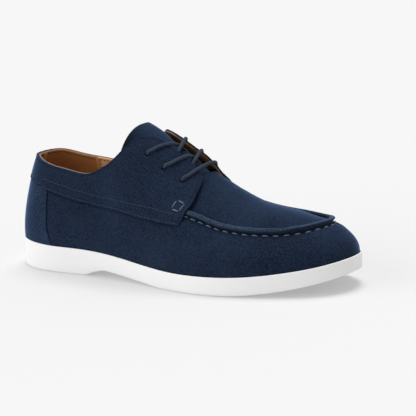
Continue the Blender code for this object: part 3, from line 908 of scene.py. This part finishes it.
def make_backstay():
    """Strip of suede up the back of the heel, from the sole to under the panel."""
    shares = both_sides(fan_places(0, 1, 1.2))
    share, row = np.meshgrid(shares, np.linspace(0, 1, 26))
    tops = last.climb(shares, panel_edge(shares), 4.0)
    level = tops * row
    place = share * np.interp(level, BACKSTAY.level, BACKSTAY.place)
    foot = last.point(place[0], 0.0) - [0, 0, 2.0]
    lift = BACKSTAY_LIFT + 0.1 * hill(row - 0.3, 0.3)
    face = foot + last.way(place[0], 0.0) * BACKSTAY_LIFT
    upper = np.concatenate([face[None], last.point(place, level, lift)])
    lower = np.concatenate([foot[None], last.point(place, level, QUARTER_LIFT + UNDER)])
    return shell("backstay", upper, lower, edge=0.18)


# ---------------------------------------------------------------- inside

LINING_SEAM = 1.085          # place of the seam between the heel grip and the front lining
BINDING_END = 1.40
INSIDE = -WALL


def lining_rows(places, tops, count):
    """Points of a lining's two faces, in rows from down in the sole up to its tops."""
    place, row = np.meshgrid(places, np.linspace(0, 1, count))
    level = tops * row
    stand = flare(place, level) - plug_sink(place, level)
    upper = last.point(place, level, INSIDE + LINING + stand)
    lower = last.point(place, level, INSIDE + stand)
    foot = [0, 0, CUP_DEPTH - 1.0]
    return np.concatenate([upper[:1] - foot, upper]), np.concatenate([lower[:1] - foot, lower])


def make_heel_lining():
    """Suede heel grip inside the back, from the rim down to the insole."""
    places = both_sides(fan_places(0, LINING_SEAM, 1.5))
    tops = last.climb(places, last.top(places), 0.35)
    return shell("heel_lining", *lining_rows(places, tops, 40), edge=0.2)


def make_front_lining():
    """Leather lining from the heel grip round the toe, open along the throat."""
    half = fan_places(LINING_SEAM + 0.002, 3, 1.7)
    places = np.r_[half, -half[-2::-1]]
    at_edge = last.top(places)
    closed = at_edge > 0.999
    collar = 1 - smooth((np.abs(places) - 1.34) / 0.1)
    tops = np.where(closed, 1.0, last.climb(places, at_edge, -0.25 + 0.6 * collar))
    lining = shell("front_lining", *lining_rows(places, tops, 54), open_top=~closed)
    return punch_eyelets(lining, LINING_HOLE_RADIUS)


def make_rim_binding():
    """The lining's cut edge, standing just over the panel along the collar."""
    places = both_sides(fan_places(0, BINDING_END, 1.0))
    level = last.top(places)
    ends = smooth((BINDING_END - np.abs(places)) / 0.06)
    inner = smooth((places - 0.2) / 0.5)
    rise = 0.02 + 0.2 * ends + 0.35 * inner * ends
    centres = last.point(places, level, -1.30 + 0.35 * inner) + np.array([0, 0, 1.0]) * rise[:, None]
    section = [(-0.32, -0.6), (0.32, -0.6), (0.36, 0.0), (0.25, 0.26), (0.0, 0.34), (-0.25, 0.26),
               (-0.36, 0.0)]
    return sweep("collar_binding", centres, [0.0, 0.0, 1.0], section, widths=0.6 + 0.4 * ends)


def make_tapes():
    """Leather strips inside: up the middle of the heel, and over each seam of the heel grip."""
    tapes = []
    for name, middle, half_width in (("back_tape", 0.0, 0.085), ("outer_tape", -LINING_SEAM, 0.0065),
                                     ("inner_tape", LINING_SEAM, 0.0065)):
        places = np.linspace(middle - half_width, middle + half_width, 9)
        tops = last.climb(places, last.top(places), -0.3)
        place, row = np.meshgrid(places, np.linspace(0.05, 1, 40))
        upper, lower = (last.point(place, tops * row, INSIDE - depth) for depth in (0.02, 0.5))
        tapes.append(shell(name, upper, lower, edge=0.12))
    return tapes


# Tongue: half width along the shoe, and its top edge, which drops back at the sides
TONGUE = table("x half_width", [(108, 31.0), (140, 31.0), (170, 31.0), (188, 27.0), (202, 20.0)])
TONGUE_TOP = 124.0
TONGUE_SIDE_DROP = 13.0
TONGUE_DROP_CURVE = 1.7
TONGUE_FRONT = 202.0


def tongue_grid(rows, columns, inset=0.0):
    """Places and levels over the tongue, from its top edge to its front."""
    share = np.linspace(-1, 1, columns)
    tops = TONGUE_TOP - inset - TONGUE_SIDE_DROP * np.abs(share) ** TONGUE_DROP_CURVE
    run = np.linspace(0, 1, rows)[:, None] ** 0.9
    x = tops + (TONGUE_FRONT - tops) * run
    width = spline(TONGUE.x, TONGUE.half_width, x.ravel()).reshape(x.shape) - inset
    y = np.vectorize(crest_y)(x) + share * width
    return last.spot(x, y)


def tongue_drop(place, level):
    """The tongue lies lower under the inner facing."""
    x, y = plan_of(place, level)
    return 1.6 * smooth((y - 1) / 7) * smooth((x - 138) / 8) + 0.5 * smooth((y - 8) / 6)


def make_tongue():
    """Suede tongue and, under it, its leather lining."""
    layers = []
    for name, grid, high, low in (
            ("tongue_face", (70, 56), 0.0, TONGUE_SHEET),
            ("tongue_lining", (50, 44, 0.35), TONGUE_SHEET + 0.02, TONGUE_THICK)):
        place, level = tongue_grid(*grid)
        depth = WALL + TONGUE_CLEARANCE + tongue_drop(place, level)
        upper, lower = (last.point(place, level, -depth - below) for below in (high, low))
        layers.append(shell(name, upper, lower, edge=0.2))
    return layers


# ---------------------------------------------------------------- footbed and sole

def plan_edge(place, distance):
    """Points of the plan, moved in from the sole's edge."""
    here = [last.stations[last.column(p)] for p in np.ravel(place)]
    return np.array([h.edge - h.outward * distance for h in here])


def ladder(half, distance, columns):
    """Points of the plan across the sole, a row for each place between the two edges."""
    outer, inner = plan_edge(-half, distance), plan_edge(half, distance)
    share = np.linspace(0, 1, columns)[None, :, None]
    return outer[:, None] + (inner - outer)[:, None] * share


def slab(name, profile, low, high, underside, deck, columns):
    """A piece of the sole's plan: a wall, and a deck over each end of it.

    The wall's profile gives a distance in from the sole's edge, a share of the way from the
    low curve to the high one, and a height over that.
    """
    half = fan_places(0, 3, 1.6)
    ring = both_sides(half)[:-1]
    wall = []
    for distance, share, over in profile:
        x, y = plan_edge(ring, distance).T
        wall.append(np.c_[x, y, low(x) + (high(x) - low(x)) * share + over])
    points = np.vstack(wall)
    faces = grid_faces(len(profile), len(ring), ring=True)
    for distance, height in ((profile[0][0], underside), (profile[-1][0], deck)):
        spots = ladder(half, distance, columns)
        faces += grid_faces(len(half), columns, len(points))
        points = np.vstack([points, np.c_[spots.reshape(-1, 2), height(spots).ravel()]])
    return piece(name, points, faces, weld=0.02)


def insole_base(x):
    """Height of the insole's underside."""
    return sole_rim(x) - CUP_DEPTH + GAP


def make_insole():
    """Leather footbed with softly rounded edges and a shallow seat for the heel."""
    edge = LIP + GAP + WALL + GAP
    profile = [(edge + inset, 0, height) for inset, height in (
        (0.4, 0), (0.0, 0.5), (0.0, INSOLE_THICK - 1.2), (0.35, INSOLE_THICK - 0.5),
        (1.1, INSOLE_THICK - 0.1), (2.2, INSOLE_THICK))]

    def footbed(deck):
        x, y = np.moveaxis(deck, -1, 0)
        outer, inner = y[:, :1], y[:, -1:]
        across = (y - outer) / np.maximum(inner - outer, 1.0)
        bowl = np.sin(math.pi * np.clip(across, 0, 1)) ** 2 * np.clip((inner - outer) / 50, 0, 1)
        seat = 1.1 * hill(x - 32, 30) + 0.5 * hill(x - 205, 28)
        return insole_base(x) + INSOLE_THICK - bowl * seat

    def underside(deck):
        return insole_base(deck[..., 0])

    return slab("footbed", profile, insole_base, insole_base, underside, footbed, 44)


TREAD_PITCH = 5.6
TREAD_DEPTH = 1.3
TREAD_EDGE = 6.0            # plain border at the sides
TREAD_SLOPE = 1.5
TREAD_FIELDS = ((9, 70), (160, 288))


def tread(deck):
    """Depth of the tread: wavy grooves across the heel and the forefoot, inside a plain border."""
    x, y = np.moveaxis(deck, -1, 0)
    border = smooth((np.minimum(y - y[:, :1], y[:, -1:] - y) - TREAD_EDGE + 1.0) / TREAD_SLOPE)
    field = sum(smooth((x - back) / TREAD_SLOPE) * smooth((front - x) / TREAD_SLOPE)
                for back, front in TREAD_FIELDS)
    wave = 2.2 * np.sin(2 * math.pi * y / 21.0)
    phase = ((x + wave) / TREAD_PITCH) % 1.0
    return TREAD_DEPTH * smooth((0.24 - np.abs(phase - 0.5)) / 0.10) * border * field


def make_sole():
    """Cup sole with a rounded rim round the upper, the heel block, arch and toe spring."""
    profile = [(1.0, 0, 0), (0.5, 0, 0.12), (0.15, 0, 0.4), (0.0, 0, 0.9),
               (0.0, 0.3, 0), (0.0, 0.5, 0), (0.0, 0.7, 0),
               (0.0, 1, -1.6), (0.04, 1, -0.75), (0.18, 1, -0.3), (0.42, 1, -0.06), (0.72, 1, 0),
               (0.98, 1, -0.06), (1.14, 1, -0.3), (LIP, 1, -0.8), (LIP, 1, -CUP_DEPTH)]

    def underside(deck):
        return sole_bottom(deck[..., 0]) + tread(deck)

    def recess(deck):
        return sole_rim(deck[..., 0]) - CUP_DEPTH

    return slab("cup_sole", profile, sole_bottom, sole_rim, underside, recess, 60)


# ---------------------------------------------------------------- laces

# Route of the lace: places in plan and heights over the last. It starts behind the top
# eyelet of the outer side, runs by every eyelet and ends behind the top one opposite.
LACE = table("x y lift", [
    (144.2, -19.5, -3.1), (142.0, -22.6, -3.1), (140.2, -25.1, -2.5), (139.8, -25.8, -0.9),
    (140.1, -25.1, 0.9), (142.4, -23.6, 1.8), (144.4, -21.2, 2.1), (146.9, -18.2, 2.1),
    (149.1, -15.0, 2.1), (151.1, -12.0, 2.0), (153.4, -8.6, 1.5), (155.3, -5.8, 0.4),
    (156.6, -3.2, -0.8), (157.6, -0.4, -2.0), (158.7, 3.2, -3.2), (160.3, 8.0, -4.6),
    (160.4, 13.5, -4.4), (158.6, 21.0, -3.2), (156.2, 25.6, -2.8), (155.2, 27.2, -0.9),
    (155.7, 26.4, 0.9), (157.4, 23.2, 2.1), (160.4, 17.6, 1.8), (163.4, 11.6, 1.5),
    (165.6, 6.6, 1.4), (167.0, 2.6, 1.6), (168.2, -1.0, 2.4), (169.2, -4.0, 2.0),
    (169.9, -7.0, 0.9), (170.4, -9.6, -0.4), (170.7, -12.4, -2.1), (171.8, -15.6, -3.0),
    (172.6, -19.5, -3.1), (172.0, -23.4, -3.1), (170.9, -25.7, -2.5), (170.5, -26.3, -0.9),
    (170.7, -25.5, 0.9), (172.7, -22.8, 2.0), (174.0, -18.5, 2.1), (175.0, -14.0, 2.1),
    (175.8, -9.0, 2.1), (176.3, -4.0, 2.1), (177.0, 1.5, 1.5), (176.9, 5.5, 1.2),
    (175.9, 10.0, 1.1), (174.4, 15.0, 1.2), (172.7, 21.0, 1.2), (171.2, 25.0, 0.7),
    (170.6, 26.2, -0.9), (171.4, 24.6, -2.9), (172.6, 19.0, -3.2), (172.0, 13.5, -4.4),
    (171.0, 8.5, -4.6), (169.9, 4.0, -3.3), (168.6, 0.4, -2.3), (167.1, -2.6, -0.8),
    (166.7, -5.4, 0.3), (165.5, -8.4, 1.2), (164.3, -12.0, 1.9), (163.0, -15.8, 2.1),
    (161.6, -19.0, 2.1), (159.8, -22.3, 2.1), (157.6, -25.0, 1.8), (155.7, -26.6, 0.9),
    (155.2, -27.3, -0.9), (156.0, -25.9, -2.8), (157.6, -21.5, -3.1), (158.6, -17.0, -3.1),
    (158.5, -13.8, -2.2), (158.3, -11.0, -0.3), (157.8, -8.5, 1.0), (157.1, -5.5, 2.1),
    (156.1, -2.5, 2.5), (154.8, 1.0, 1.8), (153.3, 4.4, 1.5), (151.2, 8.6, 1.5), (148.0, 14.0, 1.7),
    (144.4, 19.6, 2.1), (141.4, 23.6, 1.8), (140.1, 25.4, 0.8), (139.9, 25.7, -0.9),
    (141.0, 24.2, -2.9), (144.2, 19.5, -3.1),
])


def carried_sides(ways):
    """A side direction carried along a run without twisting."""
    side = np.cross(ways[0], [0.0, 0.0, 1.0])
    sides = []
    for way in ways:
        side = unit(side - way * (side @ way))
        sides.append(side)
    return np.array(sides)


def make_lace():
    """One round lace through all six eyelets, pressed flat where it runs under the facings."""
    place, level = last.spot(LACE.x, LACE.y)
    stand = flare(place, level) * smooth((LACE.lift + 1.5) / 1.5)
    knots = last.point(place, level, LACE.lift + stand)
    free = smooth((LACE.lift[1:-1] - 0.9) / 0.6)[:, None]
    knots[1:-1] += free * (knots[:-2] - 2 * knots[1:-1] + knots[2:]) / 4
    count = int(lengths(knots)[-1] / CORD_STEP)
    centres = open_curve(knots, count)
    along = np.linspace(0, 1, count)
    share = lengths(knots) / lengths(knots)[-1]
    lift = np.interp(along, share, LACE.lift)
    ups = np.stack([np.interp(along, share, axis) for axis in last.way(place, level).T], axis=1)
    flat = 0.5 * smooth((-0.9 - lift) / 1.4)
    ways = unit(np.gradient(centres, axis=0))
    sides = carried_sides(ways)
    others = np.cross(ways, sides)
    across, over = CORD_RADIUS * circle(CORD_SIDES)
    offsets = sides[:, None] * across[:, None] + others[:, None] * over[:, None]
    rise = np.einsum("kjc,kc->kj", offsets, ups)
    offsets = offsets - ups[:, None] * (rise * flat[:, None])[..., None]
    return bar("lace", centres[:, None] + offsets, lengths(centres))


# ---------------------------------------------------------------- stitches

def stitch_block(length, radius, sides):
    """One short stitch along x: round, tapering into the leather at both ends."""
    share, width = np.array([(-0.5, 0.45), (-0.36, 0.85), (-0.15, 1.0),
                             (0.15, 1.0), (0.36, 0.85), (0.5, 0.45)]).T[..., None]
    side, up = circle(sides) * radius
    dip = -radius * 0.9 * (2 * np.abs(share)) ** 4
    points = np.stack(np.broadcast_arrays(share * length, width * side, width * up + dip), -1)
    return points.reshape(-1, 3), bar_faces(len(share), sides)


def stitches(name, spots, length, radius, sides=6):
    """Stitches at (middle, way along, way up), joined in one piece."""
    block, block_faces = stitch_block(length, radius, sides)
    points, faces = [], []
    for middle, way, up in spots:
        way = unit(way)
        side = unit(np.cross(up, way))
        first = len(points) * len(block)
        points.append(middle + block @ np.array([way, side, np.cross(way, side)]))
        faces.extend(tuple(first + k for k in face) for face in block_faces)
    return piece(name, np.vstack(points), faces, weld=0.0001)


def hole_shade_between(spots, depth):
    """Places of the painted shade in the needle holes between the stitches of a row."""
    return [((a + b) / 2 - up * depth, way, up) for (a, way, up), (b, _, _) in zip(spots, spots[1:])]


def row_of_spots(trail, lift, pitch, start=0.0, end=None):
    """Stitch places along a line, at a height that may change along it."""
    end = trail.along[-1] if end is None else end
    count = int((end - start) / pitch) + 1
    spots = []
    for along in start + (end - start) * (np.arange(count) + 0.5) / count:
        ends = [trail.at(along + step) for step in (-0.6, 0.6)]
        a, b = (last.point(*spot, lift(*spot) if callable(lift) else lift) for spot in ends)
        spots.append(((a + b) / 2, b - a, last.way(*trail.at(along))))
    return spots


def on_panel(place, level):
    """Height of a fine thread over the last."""
    return float(panel_lift(place, level)) + THREAD_LIFT


def panel_rows():
    """The rows of fine stitches on the panel: lower edge, second row, rim and front edge."""
    places = both_sides(fan_places(0, 1.666, 2.0))
    lower = Trail(places, last.climb(places, panel_edge(places), 1.5))
    half = fan_places(SECOND_ROW.place[0], SECOND_ROW.place[-1], 2.0)
    level = spline(SECOND_ROW.place, SECOND_ROW.level, half)
    rows = [lower, Trail(half, level), Trail(-half, level)]
    half = fan_places(0, 1.645, 2.0)
    rim = last.climb(half, panel_top(half), -1.9)
    down = panel_front(np.linspace(0.94, 0.055, 60))
    corner = last.climb(half[-1], rim[-1], -0.4)
    for side in (OUTER, INNER):
        place = np.r_[half, 1.658, 1.668, down[:, 0] - 0.0115]
        level = np.r_[rim, corner - 0.003, corner - 0.014, down[:, 1]]
        rows.append(Trail(side * place, level))
    return rows


def make_panel_stitches():
    """Fine stitches on the panel, the low rows and the rim's, and dark bits of painted shade in the needle
    holes between them.
    """
    low, rim, hole_shades = [], [], []
    for k, trail in enumerate(panel_rows()):
        row = row_of_spots(trail, on_panel, FINE_PITCH)
        (low if k < LOW_ROWS else rim).extend(row)
        hole_shades += hole_shade_between(row, 0.1)
    return (stitches("panel_stitches", low, *FINE_STITCH), stitches("rim_stitches", rim, *FINE_STITCH),
            stitches("panel_hole_shading", hole_shades, 0.9, 0.3))


# Corners of the sewn box at the front of each panel, as places and levels
BOX = [(1.6395, 0.414), (1.6545, 0.502), (1.6865, 0.512), (1.6715, 0.432)]


def make_box_stitches():
    """A box of thick stitches by each end of the apron seam."""
    spots = []
    for side in (OUTER, INNER):
        corners = np.array(BOX) * [side, 1]
        for start, end in zip(corners, np.roll(corners, -1, axis=0)):
            middle = (start + end) / 2
            a, centre, b = (last.point(*spot, on_panel(*spot)) for spot in (start, middle, end))
            spots.append((centre, b - a, last.way(*middle)))
    return stitches("box_stitches", spots, *BOX_STITCH, sides=8)


def make_apron_stitches():
    """Running stitches along the foot of the apron seam, and dark dashes of painted shade in the dips
    between them.
    """
    trail = Trail(apron.place, last.climb(apron.place, apron.level, -3.2), step=0.25)
    margin = STITCH_START - STITCH_LENGTH / 2 - 1.4
    spots = row_of_spots(trail, 0.0, STITCH_PITCH, margin, trail.along[-1] - margin)
    return (stitches("apron_stitches", spots, STITCH_LENGTH, STITCH_RADIUS, sides=8),
            stitches("apron_hole_shading", hole_shade_between(spots, 0.25), 2.6, 0.55, sides=8))


def make_lining_stitches():
    """Dark stitches inside: round the collar under the rim, and up the seams of the heel grip."""
    places = both_sides(fan_places(0, 1.36, 2.0))
    rim = Trail(places, last.climb(places, last.top(places), -1.4))
    spots = row_of_spots(rim, INSIDE - 0.15, RIM_LINING_PITCH)
    for side in (OUTER, INNER):
        seam = side * (LINING_SEAM + 0.013)
        rows = np.linspace(float(last.climb(seam, last.top(seam), -1.0)), 0.06, 30)
        spots += row_of_spots(Trail(np.full(30, seam), rows), INSIDE - 0.1, SEAM_LINING_PITCH)
    return stitches("lining_stitches", [(middle, way, -up) for middle, way, up in spots], *LINING_STITCH)


# ---------------------------------------------------------------- finishes

BLACK = (0, 0, 0)


def operator(operation, swapped=False):
    """A method that adds a Math node for its two values."""
    def method(value, other):
        return value.finish.math(operation, *((other, value) if swapped else (value, other)))
    return method


class Value:
    """A socket that takes part in sums."""

    def __init__(self, finish, socket):
        self.finish = finish
        self.socket = socket

    __add__ = __radd__ = operator("ADD")
    __sub__ = operator("SUBTRACT")
    __rsub__ = operator("SUBTRACT", swapped=True)
    __mul__ = __rmul__ = operator("MULTIPLY")


class Finish:
    """A material built node by node."""

    def __init__(self, name, **constants):
        self.material = bpy.data.materials.new(name)
        self.material.use_nodes = True
        self.tree = self.material.node_tree
        self.shader = self.tree.nodes["Principled BSDF"]
        for socket, value in constants.items():
            self.shader.inputs[socket.replace("_", " ")].default_value = value

    def add(self, kind, inputs, output=0, **settings):
        """A node with its settings, then the values or links of its sockets."""
        node = self.tree.nodes.new(kind)
        for key, value in settings.items():
            setattr(node, key, value)
        for key, value in inputs.items():
            self.link(node.inputs[key], value)
        return Value(self, node.outputs[output])

    def link(self, socket, value):
        """Feeds a socket from another one, or sets it."""
        if isinstance(value, Value):
            self.tree.links.new(value.socket, socket)
        else:
            socket.default_value = value

    def math(self, operation, *values):
        return self.add("ShaderNodeMath", dict(enumerate(values)), operation=operation)

    def coords(self, kind="Object"):
        """The shoe's own coordinates, or a bar's UV."""
        return self.add("ShaderNodeTexCoord", {}, kind)

    def part(self, vector, which):
        """One number of a vector."""
        return self.add("ShaderNodeSeparateXYZ", {0: vector}, which)

    def noise(self, vector, scale, detail, roughness=0.5):
        return self.add("ShaderNodeTexNoise", {
            "Vector": vector, "Scale": scale, "Detail": detail, "Roughness": roughness})

    def ramp(self, value, low, high):
        """0 below low, 1 above high."""
        return self.add("ShaderNodeMapRange", {"Value": value, "From Min": low, "From Max": high})

    def mix(self, factor, a, b):
        """A colour between two."""
        a, b = (colour if isinstance(colour, Value) else (*colour, 1) for colour in (a, b))
        return self.add("ShaderNodeMix", {"Factor": factor, 6: a, 7: b}, 2, data_type="RGBA")

    def painted_shade_along(self, tone, spot, painted_shade):
        """Painted shade: darker where a spot lies low along a way; a painted shade is (way, low, high,
        least).
        """
        if painted_shade is None:
            return tone
        way, low, high, least = painted_shade
        along = self.add("ShaderNodeVectorMath", {0: spot, 1: way}, "Value", operation="DOT_PRODUCT")
        return self.mix(self.ramp(along, low, high), self.mix(least, BLACK, tone), tone)

    def paint(self, colour, height, distance, strength, roughness=None):
        """Colours the surface and raises it by a height, and gives the finished material."""
        self.link(self.shader.inputs["Base Color"], colour)
        if roughness is not None:
            self.link(self.shader.inputs["Roughness"], roughness)
        self.link(self.shader.inputs["Normal"], self.add("ShaderNodeBump", {
            "Height": height, "Distance": distance, "Strength": strength}))
        return self.material


def linear(colour):
    """A display colour out of 255 as scene values."""
    parts = [c / 255 for c in colour]
    return tuple(c / 12.92 if c <= 0.04045 else ((c + 0.055) / 1.055) ** 2.4 for c in parts)


def scaled(colour, share):
    """A colour times a share, or times one share for each of its three parts."""
    return tuple(np.multiply(colour, share).tolist())


NAVY = linear((27, 38, 56))


def suede(name, colour, nap=1.0, sheen=0.75, painted_shade=None, crest=None):
    """Napped suede: short fibres that catch the light, with brushed patches.

    With a painted shade, the tone darkens along a way. With a crest, the flanks of a bar keep only that
    share of its tone: painted shade that leaves its top looking lit.
    """
    finish = Finish(name, Roughness=0.95, Sheen_Weight=sheen, Sheen_Roughness=0.32,
                    Sheen_Tint=(*linear((120, 155, 210)), 1), Specular_IOR_Level=0.05)
    spot = finish.coords()
    fibre = finish.noise(spot, 1500.0, 2.0, 0.6)
    grain = finish.noise(spot, 820.0, 2.0, 0.6)
    patch = finish.noise(spot, 130.0, 3.0, 0.6)
    cloud = finish.noise(spot, 26.0, 2.0, 0.5)
    shade = 0.5 + (fibre - 0.5) * 1.4 + (grain - 0.5) * 1.7
    shade = shade + (patch - 0.5) * 0.22 * nap + (cloud - 0.5) * 0.70 * nap
    tone = finish.mix(finish.ramp(shade, 0.0, 1.0), scaled(colour, 0.36), scaled(colour, 1.64))
    tone = finish.painted_shade_along(tone, spot, painted_shade)
    # Painted light on a swept bar: its top keeps the full tone and its flanks are darkened to the crest
    # share as painted shade.
    if crest is not None:
        around = finish.part(finish.coords("UV"), 1)
        top = finish.ramp(around, 0.34, 0.45) * (1.0 - finish.ramp(around, 0.72, 0.80))
        tone = finish.mix(top, finish.mix(crest, BLACK, tone), tone)
    return finish.paint(tone, fibre * 0.6 + grain * 0.6 + patch * 0.5, 0.00025, 0.8)


def leather(name, colour, grain_scale=420.0, roughness=0.6, painted_shade=None):
    """Smooth lining leather with a fine grain and uneven tan, and painted shade along a way if one is given.
    """
    finish = Finish(name, Roughness=roughness, Specular_IOR_Level=0.35)
    spot = finish.coords()
    cells = finish.add("ShaderNodeTexVoronoi", {"Vector": spot, "Scale": grain_scale})
    grain = finish.noise(spot, 900.0, 2.0)
    cloud = finish.noise(spot, 38.0, 3.0, 0.6)
    shade = 0.5 + (cloud - 0.5) * 1.1 + (cells - 0.4) * 0.25 + (grain - 0.5) * 0.35
    tone = finish.mix(finish.ramp(shade, 0.0, 1.0), scaled(colour, 0.66), scaled(colour, 1.36))
    tone = finish.painted_shade_along(tone, spot, painted_shade)
    rough = finish.ramp(cloud, 0.2, 0.8) * 0.15 + (roughness - 0.07)
    return finish.paint(tone, cells * 0.6 + grain * 0.4, 0.00012, 0.5, rough)


def rubber(name, colour):
    """Matt moulded sole rubber: a very fine texture and faint scuffs."""
    finish = Finish(name, Roughness=0.5, Specular_IOR_Level=0.4)
    spot = finish.coords()
    fine = finish.noise(spot, 1900.0, 2.0)
    cloud = finish.noise(spot, 26.0, 3.0, 0.6)
    tone = finish.mix(finish.ramp(cloud, 0.3, 0.75), scaled(colour, 0.975), colour)
    return finish.paint(tone, fine, 0.00005, 0.35, 0.46 + fine * 0.1 + cloud * 0.06)


def thread(name, colour, radius, sheen=0.2):
    """Twisted sewing thread."""
    finish = Finish(name, Roughness=0.75, Sheen_Weight=sheen, Sheen_Roughness=0.5, Specular_IOR_Level=0.2)
    spot = finish.coords()
    strands = finish.noise(spot, 2600.0, 1.0)
    tone = finish.mix(finish.ramp(strands, 0.3, 0.7), scaled(colour, 0.7), scaled(colour, 1.2))
    return finish.paint(tone, strands, radius * 0.25 * METRE, 0.8)


BRAID_PITCH = 1.5            # millimetres of cord to one turn of a strand's wave
BRAID_STRANDS = 6            # strands of either set round the cord


def braid(name, colour):
    """Round braided lace: two sets of strands winding opposite ways."""
    finish = Finish(name, Roughness=0.8, Specular_IOR_Level=0.25)
    along = finish.part(finish.coords("UV"), 0) * (2 * math.pi / BRAID_PITCH)
    around = finish.part(finish.coords("UV"), 1) * (2 * math.pi * BRAID_STRANDS)
    weave = finish.math("SINE", along + around) * finish.math("SINE", along - around) * 0.5 + 0.5
    fuzz = finish.noise(finish.coords(), 2200.0, 2.0)
    shade = weave * 0.65 + fuzz * 0.35
    tone = finish.mix(finish.ramp(shade, 0.1, 0.9), scaled(colour, 0.4), scaled(colour, 2.0))
    return finish.paint(tone, shade, 0.00025, 0.9)


# ---------------------------------------------------------------- setting

def make_camera():
    """The camera, low on the outer side and a little ahead of the shoe's middle."""
    azimuth, elevation, roll = np.radians([32.178, 11.945, -2.95])
    flat = math.cos(elevation)
    back = Vector((math.sin(azimuth) * flat, -math.cos(azimuth) * flat, math.sin(elevation)))
    right = Vector((math.cos(azimuth), math.sin(azimuth), 0))
    up = back.cross(right)
    across = right * math.cos(roll) + up * math.sin(roll)
    high = up * math.cos(roll) - right * math.sin(roll)
    target = Vector((136.17, 0, 54.08)) * METRE
    distance = 1229.84 * METRE
    data = bpy.data.cameras.new("camera")
    data.sensor_width = 36.0
    data.lens = 136.33
    data.shift_x = -0.0005
    data.clip_end = 50.0
    camera = bpy.data.objects.new("camera", data)
    bpy.context.collection.objects.link(camera)
    turn = Matrix((across, high, back)).transposed().to_4x4()
    camera.matrix_world = Matrix.Translation(target + back * distance) @ turn
    bpy.context.scene.camera = camera


def soft_sun(name, way, strength, width):
    """An even, wide light from far away, shining along the way."""
    data = bpy.data.lights.new(name, "SUN")
    data.energy = strength
    data.angle = math.radians(width)
    light = bpy.data.objects.new(name, data)
    bpy.context.collection.objects.link(light)
    light.rotation_euler = Vector(way).to_track_quat("-Z", "Y").to_euler()


FLOOR_SIZE = 14.0            # metres
FLOOR_DROP = 0.0002          # keeps the floor just clear of the sole


def make_stage():
    """Pale seamless floor and soft studio light."""
    clear_selection()
    bpy.ops.mesh.primitive_plane_add(size=FLOOR_SIZE, location=(0.1, 0, -FLOOR_DROP))
    floor = bpy.context.object
    floor.name = "floor"
    white = (1, 1, 1, 1)
    paper = Finish("paper", Base_Color=(0.47, 0.47, 0.47, 1), Roughness=0.9, Specular_IOR_Level=0.0,
                   Emission_Color=white, Emission_Strength=0.26)
    floor.data.materials.append(paper.material)
    world = bpy.data.worlds.new("studio")
    world.use_nodes = True
    surround = world.node_tree.nodes["Background"].inputs
    surround["Color"].default_value = white
    surround["Strength"].default_value = 0.53
    bpy.context.scene.world = world
    soft_sun("overhead", (0.04, -0.24, -1.0), 2.35, 34)
    soft_sun("by_the_heel", (0.6, 0.6, -0.20), 1.9, 70)
    bpy.context.scene.view_settings.view_transform = "Standard"


# ---------------------------------------------------------------- the shoe

def make_shoe():
    """Makes the pieces in turn; a maker of several is given as many finishes."""
    blue = suede("blue_suede", NAVY)
    # Painted shade on the tongue: its tone darkens towards the outer side and the heel, beside the outer
    # facing's rim.
    tongue_blue = suede("tongue_suede_painted_shade", scaled(NAVY, 1.2), painted_shade=((0.3, 1.0, 0.0), -0.002, 0.017, 0.2))
    # The raised edge is painted lit: a navy over twice as light stays on its top as a painted highlight, and
    # its flanks are darkened back to about the upper's navy as painted shade.
    ridge = suede("raised_edge_suede_painted_light", scaled(NAVY, (2.3, 2.1, 1.8)), crest=0.45)
    tan = leather("tan_leather", linear((172, 124, 78)))
    # Painted shade inside the shoe: the front lining darkens to 0.36 of its tone between 66 and 92 mm along
    # x, deeper in towards the toe.
    pale_tan = leather("pale_tan_leather_painted_shade", linear((204, 156, 108)),
                       painted_shade=((-1.0, 0.0, 0.0), -0.092, -0.066, 0.36))
    grip = leather("heel_grip_suede", linear((154, 102, 54)), 500.0, 0.85)
    footbed = leather("footbed_leather", linear((164, 112, 70)), 380.0, 0.5)
    fine = thread("fine_thread", linear((48, 62, 86)), 0.27)
    rim = thread("rim_thread", linear((25, 36, 54)), 0.27, sheen=0.0)
    thick = thread("apron_thread", linear((94, 106, 126)), 0.6)
    brown = thread("brown_thread", linear((52, 30, 17)), 0.3)
    # Painted shade: near black thread for the holes and dips between stitches.
    hole_shade = thread("dark_hole_shade", linear((9, 14, 22)), 0.2, sheen=0.0)
    upper, seam, tongue = ("suede", "upper"), ("suede", "apron_seam"), ("tongue_suede", "tongue")
    for make, where, *finishes in (
            (make_panel, upper, blue),
            (make_front_lining, upper, pale_tan),
            (make_quarters, upper, blue),
            (make_plug, upper, suede("apron_blue_suede", scaled(NAVY, 1.04))),
            # Painted shadow: near black suede for the strip along the panel's cut edge.
            (make_edge_shadow, upper, suede("edge_shadow_suede", scaled(NAVY, 0.3), 1.0, 0.1)),
            # The backstay's suede is half again as light as the navy: partly its own coarser nap, partly
            # painted light where the back of the heel catches the light.
            (make_backstay, upper, suede("heel_nap_and_painted_light_suede", scaled(NAVY, 1.5), 1.3)),
            (make_heel_lining, upper, grip),
            (make_rim_binding, upper, leather("binding", linear((136, 118, 102)))),
            (make_tapes, upper, tan, tan, tan),
            (make_ridge, seam, ridge),
            (make_apron_stitches, seam, thick, hole_shade),
            (make_panel_stitches, upper, fine, rim, hole_shade),
            (make_box_stitches, upper, thick),
            (make_lining_stitches, upper, brown),
            (make_tongue, tongue, tongue_blue, tan),
            (make_insole, ("footbed", "insole"), footbed),
            (make_sole, ("sole", "outsole"), rubber("white_rubber", (0.86, 0.86, 0.855))),
            (make_lace, ("lace", "lace_bar", "lace_cross_middle", "lace_cross_top"),
             braid("lace_braid", linear((41, 50, 65))))):
        made = make()
        for thing, finish in zip([made] if len(finishes) == 1 else made, finishes):
            stand_for(thing, finish, *where)


make_camera()
make_shoe()
make_stage()
